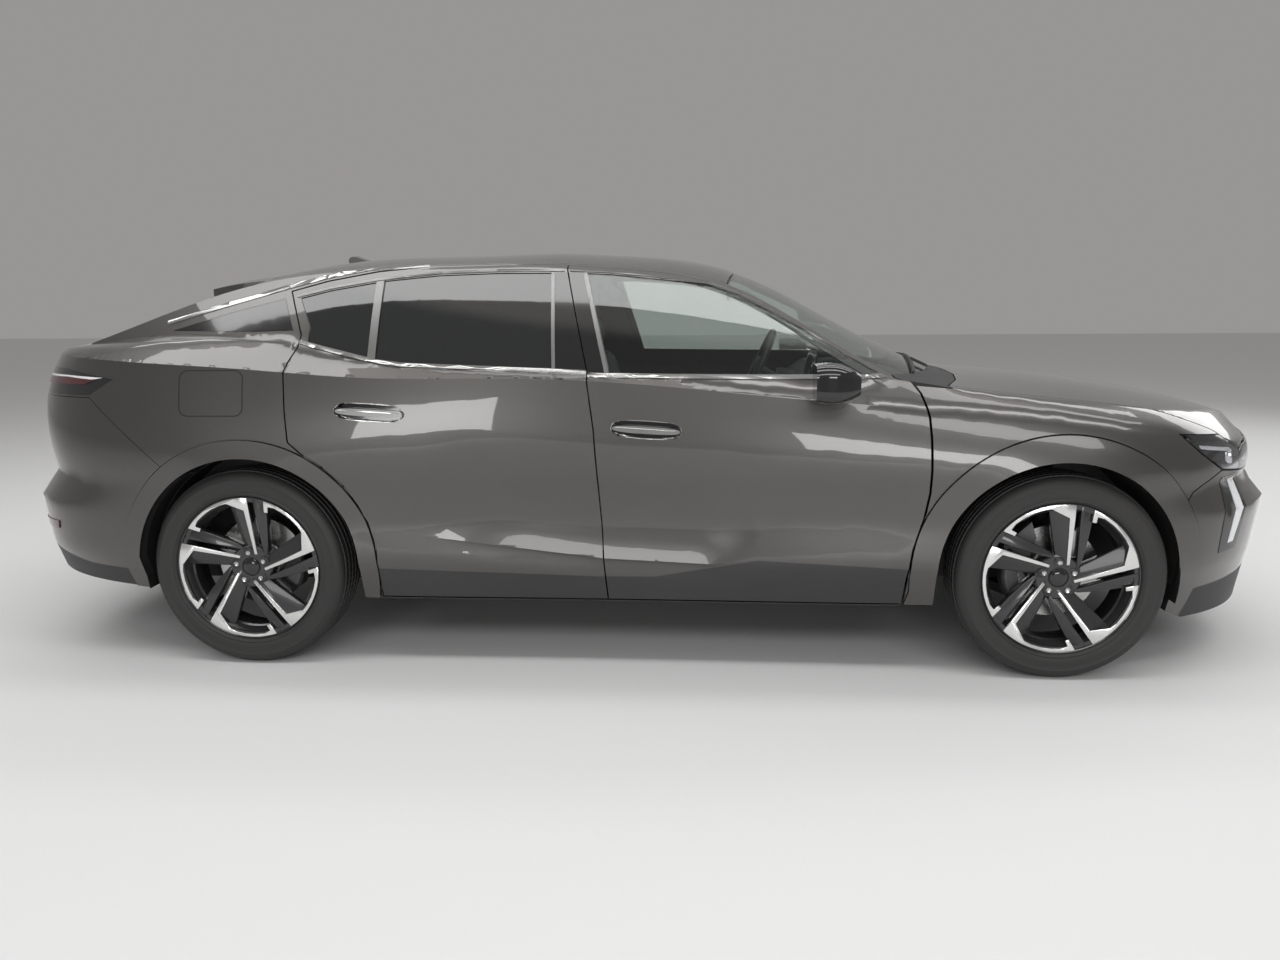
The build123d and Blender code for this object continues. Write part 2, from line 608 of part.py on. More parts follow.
with BuildPart() as front_subframe:
    with BuildSketch(Plane.XY.offset(226)):
        with BuildLine():
            Polyline((1300, 0), (1300, 420), (1400, 640), (1416, 730), (1457, 730), (1475, 640), (1620, 420),
                     (1900, 430), (1900, 350), (1620, 330), (1560, 0), close=True)
        make_face()
    extrude(amount=-34)
    with BuildSketch(Plane.XY.offset(440)):
        with Locations((FRONT_AXLE_X, 585)):
            Circle(46)
    extrude(amount=380)
    with BuildSketch(Plane.XY.offset(192)):
        with Locations((FRONT_AXLE_X, 585)):
            Circle(24)
    extrude(amount=300)
    with BuildSketch(Plane.XY.offset(790)):
        with Locations((FRONT_AXLE_X, 540)):
            Rectangle(200, 200)
    extrude(amount=30)
    with BuildSketch(Plane.XY.offset(700)):
        with Locations((1570, 465)):
            Rectangle(800, 60)
    extrude(amount=90)
    mirror(about=Plane.XZ)
with BuildPart() as engine_block:
    with Locations((1600, 0, 560)):
        Box(520, 760, 440)

# ---------------------------------------------------------------- floor, liners and underside
FLOOR_TOP = [(1100, 285), (-760, 285), (-900, 420), (-1500, 470), (-1560, 560), (-2180, 560)]
floor_outline = FLOOR_TOP + [(x, z - 30) for x, z in reversed(FLOOR_TOP)]
JACK_X = 840.0
JACK_Y = 695.0
JACK_Z = 200.0
FIREWALL = [(1070, 255), (1160, 520), (1160, 900), (1130, 900), (1130, 520), (1040, 255)]


def liner(x, y_inner, y_outer):
    with BuildPart() as shell:
        add(wheel_space(x, ARCH_RADIUS + 6, y_inner - 6, y_outer))
        add(wheel_space(x, ARCH_RADIUS, y_inner, y_outer + 50), mode=Mode.SUBTRACT)
        with Locations((x, 700, 75)):
            Box(1000, 1000, 350, mode=Mode.SUBTRACT)
    return shell.part


with BuildPart() as floor_pan:
    add(side_prism(floor_outline, 0, 900) & wall_inner)
    add(side_prism(FIREWALL, 0, 900) & wall_inner)
    add(wheel_space(REAR_ARCH_X, ARCH_RADIUS + 6, 634.0, 1100.0), mode=Mode.SUBTRACT)
    add(wheel_space(FRONT_ARCH_X, ARCH_RADIUS + 6, 499.0, 1100.0), mode=Mode.SUBTRACT)
    add(block(-700, 1060, 0, 120, 255, 400) - block(-800, 1100, -10, 95, 200, 375))
    add(block(-1000, 1160, 0, 95, 200, 370), mode=Mode.SUBTRACT)
    for x in (JACK_X, -JACK_X):
        with Locations((x, JACK_Y, (JACK_Z + 260) / 2)):
            Box(100, 70, 260 - JACK_Z)
    mirror(about=Plane.XZ)
with BuildPart() as wheel_liners:
    add((liner(FRONT_ARCH_X, 505.0, 885.0) & low_panel) - front_subframe.part)
    add(liner(REAR_ARCH_X, 640.0, 786.0) - body_sides.part - rear_axle.part)
    mirror(about=Plane.XZ)

# ---------------------------------------------------------------- interior
DASHBOARD = [(1120, 985), (930, 1000), (700, 985), (620, 930), (640, 800), (760, 640), (1120, 640)]
with BuildPart() as dashboard:
    add(side_prism(DASHBOARD, -1000, 1000))
    add(wall_inner, mode=Mode.INTERSECT)
SEAT_X = 180.0
SEAT_Y = 370.0


def seat(x, y, width, back_height):
    with BuildPart() as chair:
        with BuildSketch(Plane.XZ.offset(-(y - width / 2))):
            with BuildLine():
                Polyline((x + 250, 470), (x + 240, 560), (x - 200, 530), (x - 380, back_height), (x - 480, back_height),
                         (x - 360, 420), (x - 100, 400), (x + 200, 420), close=True)
            make_face()
        extrude(amount=-width)
        fillet(chair.edges().filter_by(GeomType.LINE).filter_by(lambda e: abs(e.tangent_at(0).Y) > 0.9), 20)
    return chair.part


with BuildPart() as front_seats:
    add(seat(SEAT_X, SEAT_Y, 510, 1060))
    with Locations((SEAT_X - 440, SEAT_Y, 1130)):
        Box(90, 260, 150)
    with Locations((SEAT_X - 20, SEAT_Y, 345)):
        Box(420, 380, 120)
    mirror(about=Plane.XZ)
with BuildPart() as rear_bench:
    add(seat(-700, 0, 1180, 1080))
    with Locations((-720, 0, 365)):
        Box(420, 1100, 160)
    for y in (-380, 0, 380):
        with Locations((-1140, y, 1130)):
            Box(80, 220, 120)
    add(floor_pan.part, mode=Mode.SUBTRACT)
STEERING_TILT = 24.0
STEERING_CENTRE = (470.0, SEAT_Y, 960.0)
with BuildPart() as hand_wheel:
    Torus(178, 15)
    Cylinder(50, 30)
    for turn in (0, 180, 270):
        with Locations(Location((0, 0, 0), (0, 0, turn)) * Location((108, 0, -2))):
            Box(130, 34, 14)
    with Locations((0, 0, -70)):
        Cylinder(22, 120)
with BuildPart() as steering_wheel:
    add(hand_wheel.part.rotate(Axis.Y, -(90 - STEERING_TILT)).moved(Location(STEERING_CENTRE)))
with BuildPart() as exhaust:
    with BuildSketch(Plane.YZ.offset(-2180)):
        with Locations((420, 310)):
            Circle(30)
    extrude(amount=420)
    with Locations((-1900, 330, 305)):
        Box(300, 420, 130)
    with BuildSketch(Plane.YZ.offset(-1800)):
        with Locations((240, 224)):
            Circle(24)
    extrude(amount=2940)


# ---------------------------------------------------------------- hand over
def save(shape, name):
    shape.label = name
    export_step(shape, "parts/" + name + ".step")


save(body_sides.part, "body_sides")
save(quarter_trims.part, "quarter_trims")
save(front_fenders.part, "front_fenders")
save(arch_trims.part, "arch_trims")
save(bonnet.part, "bonnet")
save(cowl_panel.part, "cowl_panel")
save(headlamps.part, "headlamps")
save(front_bumper.part, "front_bumper")
save(grille.part, "grille")
save(rear_bumper.part, "rear_bumper")
save(tail_lamps.part, "tail_lamps")
save(windscreen.part, "windscreen")
save(roof_panel.part, "roof_panel")
save(tailgate.part, "tailgate")
save(tailgate_glass.part, "tailgate_glass")
save(rear_axle.part, "rear_axle")
save(front_subframe.part, "front_subframe")
save(engine_block.part, "engine_block")
save(floor_pan.part, "floor_pan")
save(wheel_liners.part, "wheel_liners")
save(dashboard.part, "dashboard")
save(front_seats.part, "front_seats")
save(rear_bench.part, "rear_bench")
save(steering_wheel.part, "steering_wheel")
save(exhaust.part, "exhaust")
save(front_door_left.part, "front_door_left")
save(mirror(front_door_left.part, about=Plane.XZ), "front_door_right")
save(rear_door_left.part, "rear_door_left")
save(mirror(rear_door_left.part, about=Plane.XZ), "rear_door_right")
save(front_door_glass_left.part, "front_door_glass_left")
save(mirror(front_door_glass_left.part, about=Plane.XZ), "front_door_glass_right")
save(rear_door_glass_left.part, "rear_door_glass_left")
save(mirror(rear_door_glass_left.part, about=Plane.XZ), "rear_door_glass_right")
save(door_mirror_left.part, "door_mirror_left")
save(mirror(door_mirror_left.part, about=Plane.XZ), "door_mirror_right")
save(knuckle_left.part, "knuckle_left")
save(mirror(knuckle_left.part, about=Plane.XZ), "knuckle_right")
for side, turn, sign in (("left", 0.0, 1.0), ("right", 180.0, -1.0)):
    for end, x in (("front", FRONT_AXLE_X), ("rear", REAR_AXLE_X)):
        place = Location((x, sign * WHEEL_FACE_Y, HUB_Z))
        save(tyre.rotate(Axis.Z, turn).moved(place), f"tyre_{end}_{side}")
        save(rim.rotate(Axis.Z, turn).moved(place), f"rim_{end}_{side}")
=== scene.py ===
# %% [markdown]
# A fastback crossover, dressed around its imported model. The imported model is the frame: it gives every
# panel, glass, wheel and seat its size and place in metres, with X forward, Y to the left and Z up.
# This lesson gives those parts their finishes, and models what a plain model leaves out.

# %% Load the frame
import json
import math

import bmesh
import bpy
from mathutils import Matrix, Vector
from mathutils.bvhtree import BVHTree
from mathutils.kdtree import KDTree


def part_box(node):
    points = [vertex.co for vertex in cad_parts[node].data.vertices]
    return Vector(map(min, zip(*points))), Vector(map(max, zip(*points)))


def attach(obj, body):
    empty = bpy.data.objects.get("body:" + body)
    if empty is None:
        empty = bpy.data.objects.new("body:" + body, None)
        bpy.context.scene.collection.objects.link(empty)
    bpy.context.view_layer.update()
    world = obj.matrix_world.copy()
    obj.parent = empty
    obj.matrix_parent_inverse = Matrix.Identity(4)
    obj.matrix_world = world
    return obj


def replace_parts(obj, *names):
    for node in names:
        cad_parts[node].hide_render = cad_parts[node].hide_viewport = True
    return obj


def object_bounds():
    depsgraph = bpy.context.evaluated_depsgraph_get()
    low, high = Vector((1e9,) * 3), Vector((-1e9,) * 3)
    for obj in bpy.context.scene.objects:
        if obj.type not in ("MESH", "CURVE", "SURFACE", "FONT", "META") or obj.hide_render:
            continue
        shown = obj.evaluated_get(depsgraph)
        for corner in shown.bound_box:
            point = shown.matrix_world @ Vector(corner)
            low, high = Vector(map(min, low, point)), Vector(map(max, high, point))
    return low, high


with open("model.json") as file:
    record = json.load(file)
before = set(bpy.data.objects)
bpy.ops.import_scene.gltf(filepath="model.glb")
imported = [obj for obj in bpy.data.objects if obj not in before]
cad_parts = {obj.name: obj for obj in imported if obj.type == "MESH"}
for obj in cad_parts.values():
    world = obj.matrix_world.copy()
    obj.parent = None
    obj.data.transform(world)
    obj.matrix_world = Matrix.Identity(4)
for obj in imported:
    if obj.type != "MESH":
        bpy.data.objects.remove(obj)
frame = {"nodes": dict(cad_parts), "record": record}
nodes = frame["nodes"]
CAD_BOX = [list(corner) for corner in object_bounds()]
FLOOR_Z = CAD_BOX[0][2]


def box_of(node):
    """The low and high corners of a frame node."""
    return tuple(Vector(corner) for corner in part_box(node))


print("loaded", len(nodes), "nodes, box", CAD_BOX)

# %% [markdown]
# The camera stands about four metres from the car's right side, at eye level, and looks a little down.
# Its lens is wide, so the near wheels look larger than the far ones. Its direction is given by three
# angles: how far it is turned, how far it looks down, and how far it leans.

# %% Camera
CAMERA_PLACE = Vector((0.2995, -4.2041, 1.2813))
TURN, LOOK_DOWN, LEAN = -0.0784, -0.1799, -0.0077
LENS, SENSOR = 28.25, 36.0

ahead = Vector((math.sin(TURN), math.cos(TURN), 0.0))
across = Vector((math.cos(TURN), -math.sin(TURN), 0.0))
sight = ahead * math.cos(LOOK_DOWN) + Vector((0, 0, math.sin(LOOK_DOWN)))
above = -ahead * math.sin(LOOK_DOWN) + Vector((0, 0, math.cos(LOOK_DOWN)))
right = across * math.cos(LEAN) + above * math.sin(LEAN)
above = -across * math.sin(LEAN) + above * math.cos(LEAN)

camera_data = bpy.data.cameras.new("camera")
camera_data.lens = LENS
camera_data.sensor_width = SENSOR
camera_data.clip_end = 200.0
camera = bpy.data.objects.new("camera", camera_data)
stance = Matrix((right, above, -sight)).transposed().to_4x4()
camera.matrix_world = Matrix.Translation(CAMERA_PLACE) @ stance
bpy.context.scene.collection.objects.link(camera)
bpy.context.scene.camera = camera
bpy.context.scene.view_settings.view_transform = "Standard"
print("camera at", tuple(round(v, 3) for v in CAMERA_PLACE))

# %% [markdown]
# The studio is a plain pale hall. The world gives soft light from all round, and area lights stand where a
# hall has its ceiling strips and windows, because gloss paint looks flat until it has long pale shapes to
# reflect. A skylight high on each side is seen by glossy rays alone, so it draws the line of light along
# the roof and shoulders and lights nothing else.

# %% World
WORLD_STRENGTH, FLOOR_SIZE = 0.5, 60
world = bpy.data.worlds.new("studio")
bpy.context.scene.world = world
world.use_nodes = True
sky = world.node_tree
background = sky.nodes["Background"]
background.inputs[1].default_value = WORLD_STRENGTH
WALL, SKYLIGHT = (0.62, 0.61, 0.60, 1), (1.75, 1.66, 1.56, 1)
RAMP_LOW, RAMP_HIGH, SIDE_LOW, SIDE_HIGH = 0.80, 0.84, 0.18, 0.36


def sky_math(operation, first, second=None):
    node = sky.nodes.new("ShaderNodeMath")
    node.operation = operation
    for socket, value in zip(node.inputs, (first, second)):
        if value is None:
            continue
        if isinstance(value, float):
            socket.default_value = value
        else:
            sky.links.new(value, socket)
    return node.outputs[0]


def sky_ramp(value, low, high):
    node = sky.nodes.new("ShaderNodeMapRange")
    node.interpolation_type = "SMOOTHSTEP"
    node.inputs["From Min"].default_value, node.inputs["From Max"].default_value = low, high
    sky.links.new(value, node.inputs["Value"])
    return node.outputs["Result"]


def colour_mix(tree):
    blend = tree.nodes.new("ShaderNodeMix")
    blend.data_type = "RGBA"
    return blend


direction = sky.nodes.new("ShaderNodeSeparateXYZ")
sky.links.new(sky.nodes.new("ShaderNodeTexCoord").outputs["Generated"], direction.inputs[0])
rays = sky.nodes.new("ShaderNodeLightPath")
high = sky_ramp(direction.outputs["Z"], RAMP_LOW, RAMP_HIGH)
aside = sky_ramp(sky_math("ABSOLUTE", direction.outputs["Y"]), SIDE_LOW, SIDE_HIGH)
share = sky_math("MULTIPLY", sky_math("MULTIPLY", high, aside), rays.outputs["Is Glossy Ray"])
blend = colour_mix(sky)
blend.inputs[6].default_value, blend.inputs[7].default_value = WALL, SKYLIGHT
sky.links.new(share, blend.inputs[0])
sky.links.new(blend.outputs[2], background.inputs[0])
print("skylights from", RAMP_LOW, "up")

# %% Lights and floor
CEILING, BODY_MIDDLE = 5.5, (0, 0, 0.7)


def area_light(name, place, aim, size, power):
    data = bpy.data.lights.new(name, "AREA")
    data.shape = "RECTANGLE"
    data.size, data.size_y = size
    data.energy = power
    lamp = bpy.data.objects.new(name, data)
    lamp.location = place
    lamp.rotation_euler = (Vector(aim) - Vector(place)).to_track_quat("-Z", "Y").to_euler()
    bpy.context.scene.collection.objects.link(lamp)


for across_hall, power in ((-2.55, 150), (0.3, 90), (3.0, 90)):
    area_light("ceiling_strip", (0, across_hall, CEILING), (0, across_hall, 0), (11, 0.9), power)
for name, place, size, power in (("front_left", (7, 4, 4.0), (4, 3), 90),
                                 ("camera_side", (1, -8, 4.8), (9, 1.6), 170),
                                 ("tall_window", (-2.9, -9, 1.5), (1.6, 1.5), 55),
                                 ("wide_window", (2.6, -9, 1.3), (2.8, 1.2), 75)):
    area_light(name, place, BODY_MIDDLE, size, power)

bpy.ops.object.select_all(action="DESELECT")
bpy.ops.mesh.primitive_plane_add(size=FLOOR_SIZE, location=(0, 0, FLOOR_Z))
floor = bpy.context.object
floor.name = "studio_floor"
print("studio lit, floor at", FLOOR_Z)

# %% [markdown]
# Most pieces start in one of three ways. A turned piece is a traced profile that is spun round an axis.
# A plate is a traced outline that is filled and pushed out to a thickness. A strip or a lens is cut out of
# a panel's own faces, so it follows the panel's curve exactly. These helpers do the three, with the same
# operators that a modeller would use by hand.

# %% Helpers for selecting and editing
def only(piece):
    bpy.ops.object.select_all(action="DESELECT")
    piece.select_set(True)
    bpy.context.view_layer.objects.active = piece


def edit(piece, mode="FACE"):
    only(piece)
    bpy.ops.object.mode_set(mode="EDIT")
    bpy.ops.mesh.select_mode(type=mode)


def leave():
    bpy.ops.object.mode_set(mode="OBJECT")


def select_all():
    bpy.ops.mesh.select_all(action="SELECT")


def edit_all(piece):
    edit(piece)
    select_all()


def inset_and_push(thickness, move):
    bpy.ops.mesh.inset(thickness=thickness)
    bpy.ops.transform.translate(value=move)


def pick(piece, test):
    mesh = piece.data
    mesh.vertices.foreach_set("select", [False] * len(mesh.vertices))
    mesh.edges.foreach_set("select", [False] * len(mesh.edges))
    mesh.polygons.foreach_set("select", [bool(test(face.center, face.normal)) for face in mesh.polygons])
    edit(piece)


def delete_where(piece, test):
    pick(piece, test)
    bpy.ops.mesh.delete(type="FACE")
    leave()


def apply_modifier(piece, kind, **settings):
    only(piece)
    modifier = piece.modifiers.new(kind.lower(), kind)
    for key, value in settings.items():
        setattr(modifier, key, value)
    bpy.ops.object.modifier_apply(modifier=modifier.name)


def smooth(piece, angle=35.0):
    only(piece)
    bpy.ops.object.shade_smooth_by_angle(angle=math.radians(angle))


def rounded(piece, width, segments=2, angle=40.0):
    apply_modifier(piece, "BEVEL", width=width, segments=segments, limit_method="ANGLE",
                   angle_limit=math.radians(angle), use_clamp_overlap=True)
    smooth(piece)


print("editing helpers ready")

# %% Helpers for tracing, filling and spinning
STRAIGHT_UP = (0, 0, 1)


def rectangle(left, low, right, high):
    return [(left, low), (right, low), (right, high), (left, high)]


def centred(width, height):
    return rectangle(-width / 2, -height / 2, width / 2, height / 2)


def trace(name, points):
    bpy.ops.object.select_all(action="DESELECT")
    bpy.ops.mesh.primitive_plane_add(size=0.01, location=(0, 0, 0))
    piece = bpy.context.object
    piece.name = piece.data.name = name
    edit(piece, "VERT")
    bpy.ops.mesh.merge(type="CENTER")
    bpy.ops.transform.translate(value=points[0])
    for here, there in zip(points, points[1:]):
        step = Vector(there) - Vector(here)
        bpy.ops.mesh.extrude_region_move(TRANSFORM_OT_translate={"value": step})
    return piece


def tidy_normals():
    select_all()
    bpy.ops.mesh.remove_doubles(threshold=0.00001)
    bpy.ops.mesh.normals_make_consistent(inside=False)


def plate(name, outline, depth, bevel=0.001, segments=2):
    piece = trace(name, outline)
    select_all()
    bpy.ops.mesh.edge_face_add()
    bpy.ops.mesh.select_mode(type="FACE")
    select_all()
    bpy.ops.mesh.extrude_region_move(TRANSFORM_OT_translate={"value": depth})
    tidy_normals()
    leave()
    if bevel:
        rounded(piece, bevel, segments)
    return piece


def spun(name, profile, centre, axis, steps=72, angle=2 * math.pi):
    piece = trace(name, profile)
    select_all()
    bpy.ops.mesh.spin(steps=steps, angle=angle, center=centre, axis=axis)
    tidy_normals()
    leave()
    smooth(piece)
    return piece


# %% Helpers for joining, copying and finishing
def join(pieces, name):
    bpy.ops.object.select_all(action="DESELECT")
    for piece in pieces:
        piece.select_set(True)
    bpy.context.view_layer.objects.active = pieces[0]
    bpy.ops.object.join()
    pieces[0].name = pieces[0].data.name = name
    return pieces[0]


def copied(piece, name, place=None):
    twin = bpy.data.objects.new(name, piece.data.copy())
    twin.data.name = name
    bpy.context.scene.collection.objects.link(twin)
    if place is not None:
        twin.data.transform(place)
        if place.to_3x3().determinant() < 0:
            twin.data.flip_normals()
    return twin


ACROSS = Matrix.Scale(-1, 4, (0, 1, 0))


def finish_piece(piece, body, slot, material=None):
    piece.data.materials.clear()
    piece.data.materials.append(material or FINISHES[slot])
    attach(piece, body)
    return piece


def both_sides(piece, body, slot, material=None):
    """Finish a right-hand piece and its mirror image; {s} in the body is the side, and the names end in
    _right and _left.
    """
    name = piece.name
    twin = copied(piece, name + "_left", ACROSS)
    piece.name = piece.data.name = name + "_right"
    finish_piece(piece, body.format(s="right"), slot, material)
    finish_piece(twin, body.format(s="left"), slot, material)
    return piece, twin


print("making helpers ready")

# %% Helpers for pieces cut from a panel
def inside(x, z, outline):
    hit = False
    for (xa, za), (xb, zb) in zip(outline, outline[1:] + outline[:1]):
        if (za > z) != (zb > z) and x < (xb - xa) * (z - za) / (zb - za) + xa:
            hit = not hit
    return hit


def panel_copy(name, node):
    piece = bpy.data.objects.new(name, nodes[node].data.copy())
    piece.data.name = name
    piece.data.materials.clear()
    bpy.context.scene.collection.objects.link(piece)
    edit_all(piece)
    bpy.ops.mesh.remove_doubles(threshold=0.00002)
    leave()
    return piece


VIEWS = {"side": (0, 2, Vector((0, -1, 0))), "front": (1, 2, Vector((1, 0, 0))),
         "rear": (1, 2, Vector((-1, 0, 0))), "top": (0, 1, Vector((0, 0, 1)))}


def cut_planes(outline, view):
    """A point on each edge of an outline that is drawn in one view, and the normal of the cut along it."""
    first, second, look = VIEWS[view]
    for here, there in zip(outline, outline[1:] + outline[:1]):
        place, along = Vector((0, 0, 0)), Vector((0, 0, 0))
        place[first], place[second] = here
        along[first], along[second] = there[0] - here[0], there[1] - here[1]
        yield place, along.cross(look).normalized()


def cut_outline(outline, view):
    for place, across_edge in cut_planes(outline, view):
        select_all()
        bpy.ops.mesh.bisect(plane_co=place, plane_no=across_edge)


print("views that outlines are drawn in:", *VIEWS)

# %% [markdown]
# Real surfaces are never one flat colour. Two small node groups add what the eye expects. The first
# varies colour and roughness slowly across a surface, as moulding, polishing and handling do, and adds a
# very fine grain to the surface. The second draws woven cloth. Each material places a group with its own
# values, so the plastic, rubber and cast metal share one idea but not one look.

# %% Node group for surface variation
def new_group(name, inputs, outputs):
    group = bpy.data.node_groups.new(name, "ShaderNodeTree")
    for label, kind, value in inputs:
        socket = group.interface.new_socket(label, in_out="INPUT", socket_type=kind)
        socket.default_value = value
    for label, kind in outputs:
        group.interface.new_socket(label, in_out="OUTPUT", socket_type=kind)
    entry = group.nodes.new("NodeGroupInput")
    leave_by = group.nodes.new("NodeGroupOutput")
    return group, entry, leave_by


FLOAT, COLOUR, VECTOR = "NodeSocketFloat", "NodeSocketColor", "NodeSocketVector"
surface, entry, leave_by = new_group(
    "surface_variation",
    [("Colour", COLOUR, (0.5, 0.5, 0.5, 1)), ("Second Colour", COLOUR, (0.4, 0.4, 0.4, 1)),
     ("Patch Scale", FLOAT, 6.0), ("Grain Scale", FLOAT, 400.0), ("Roughness", FLOAT, 0.5),
     ("Roughness Spread", FLOAT, 0.1), ("Grain", FLOAT, 0.1)],
    [("Colour", COLOUR), ("Roughness", FLOAT), ("Normal", VECTOR)])
place = surface.nodes.new("ShaderNodeTexCoord")
patches = surface.nodes.new("ShaderNodeTexNoise")
patches.inputs["Detail"].default_value = 4.0
grain = surface.nodes.new("ShaderNodeTexNoise")
grain.inputs["Detail"].default_value = 2.0
blend = colour_mix(surface)
spread = surface.nodes.new("ShaderNodeMath")
spread.operation = "MULTIPLY_ADD"
bump = surface.nodes.new("ShaderNodeBump")
bump.inputs["Distance"].default_value = 0.0006
for start, end in ((place.outputs["Object"], patches.inputs["Vector"]),
                   (place.outputs["Object"], grain.inputs["Vector"]),
                   (entry.outputs["Patch Scale"], patches.inputs["Scale"]),
                   (entry.outputs["Grain Scale"], grain.inputs["Scale"]),
                   (patches.outputs["Fac"], blend.inputs[0]), (entry.outputs["Colour"], blend.inputs[6]),
                   (entry.outputs["Second Colour"], blend.inputs[7]),
                   (patches.outputs["Fac"], spread.inputs[0]),
                   (entry.outputs["Roughness Spread"], spread.inputs[1]),
                   (entry.outputs["Roughness"], spread.inputs[2]),
                   (entry.outputs["Grain"], bump.inputs["Strength"]),
                   (grain.outputs["Fac"], bump.inputs["Height"]),
                   (blend.outputs[2], leave_by.inputs["Colour"]),
                   (spread.outputs[0], leave_by.inputs["Roughness"]),
                   (bump.outputs[0], leave_by.inputs["Normal"])):
    surface.links.new(start, end)
print("group", surface.name, "has", len(surface.nodes), "nodes")

# %% Node group for woven cloth
weave, entry, leave_by = new_group(
    "woven_cloth",
    [("Colour", COLOUR, (0.1, 0.1, 0.1, 1)), ("Thread Colour", COLOUR, (0.2, 0.2, 0.2, 1)),
     ("Thread Scale", FLOAT, 260.0), ("Relief", FLOAT, 0.4)],
    [("Colour", COLOUR), ("Normal", VECTOR)])
place = weave.nodes.new("ShaderNodeTexCoord")
threads = []
for direction in ("X", "Z"):
    wave = weave.nodes.new("ShaderNodeTexWave")
    wave.bands_direction = direction
    wave.inputs["Distortion"].default_value = 0.6
    wave.inputs["Detail"].default_value = 1.0
    weave.links.new(place.outputs["Object"], wave.inputs["Vector"])
    weave.links.new(entry.outputs["Thread Scale"], wave.inputs["Scale"])
    threads.append(wave)
crossing = weave.nodes.new("ShaderNodeMath")
crossing.operation = "MAXIMUM"
blend = colour_mix(weave)
bump = weave.nodes.new("ShaderNodeBump")
bump.inputs["Distance"].default_value = 0.0012
for start, end in ((threads[0].outputs["Fac"], crossing.inputs[0]),
                   (threads[1].outputs["Fac"], crossing.inputs[1]), (crossing.outputs[0], blend.inputs[0]),
                   (entry.outputs["Colour"], blend.inputs[6]),
                   (entry.outputs["Thread Colour"], blend.inputs[7]),
                   (entry.outputs["Relief"], bump.inputs["Strength"]),
                   (crossing.outputs[0], bump.inputs["Height"]),
                   (blend.outputs[2], leave_by.inputs["Colour"]),
                   (bump.outputs[0], leave_by.inputs["Normal"])):
    weave.links.new(start, end)
print("group", weave.name, "has", len(weave.nodes), "nodes")


# %% [markdown]
# A finish is a plain shader with a node group placed before it. Its numbers are two close colours, a
# roughness and its spread, how metallic it is, the sizes of its patches and grain, and how deep the grain
# is. Gloss coats, sheen and glass are set on the shader's own sockets.

# %% Material makers
def with_group(name, group, values):
    """A new material, its shader, and a node group placed in it with its own values."""
    made = bpy.data.materials.new(name)
    made.use_nodes = True
    tree = made.node_tree
    placed = tree.nodes.new("ShaderNodeGroup")
    placed.node_tree = group
    for key, value in values.items():
        placed.inputs[key].default_value = value
    return made, tree.links.new, tree.nodes["Principled BSDF"].inputs, placed.outputs


def finish(name, colour, second, rough, spread=0.06, metal=0.0, patch=6.0, grain=400.0, relief=0.05,
           **sockets):
    made, link, shader, varied = with_group(name, surface, {
        "Colour": (*colour, 1), "Second Colour": (*second, 1), "Patch Scale": patch, "Grain Scale": grain,
        "Roughness": rough - spread / 2, "Roughness Spread": spread, "Grain": relief})
    link(varied["Colour"], shader["Base Color"])
    link(varied["Roughness"], shader["Roughness"])
    if relief:
        link(varied["Normal"], shader["Normal"])
    shader["Metallic"].default_value = metal
    for key, value in sockets.items():
        shader[key.replace("_", " ")].default_value = value
    return made


def cloth(name, colour, thread, scale=260.0, relief=0.4):
    made, link, shader, woven = with_group(name, weave, {
        "Colour": (*colour, 1), "Thread Colour": (*thread, 1), "Thread Scale": scale, "Relief": relief})
    link(woven["Colour"], shader["Base Color"])
    link(woven["Normal"], shader["Normal"])
    shader["Roughness"].default_value = 0.9
    shader["Sheen Weight"].default_value = 0.25
    return made


print("material makers ready")

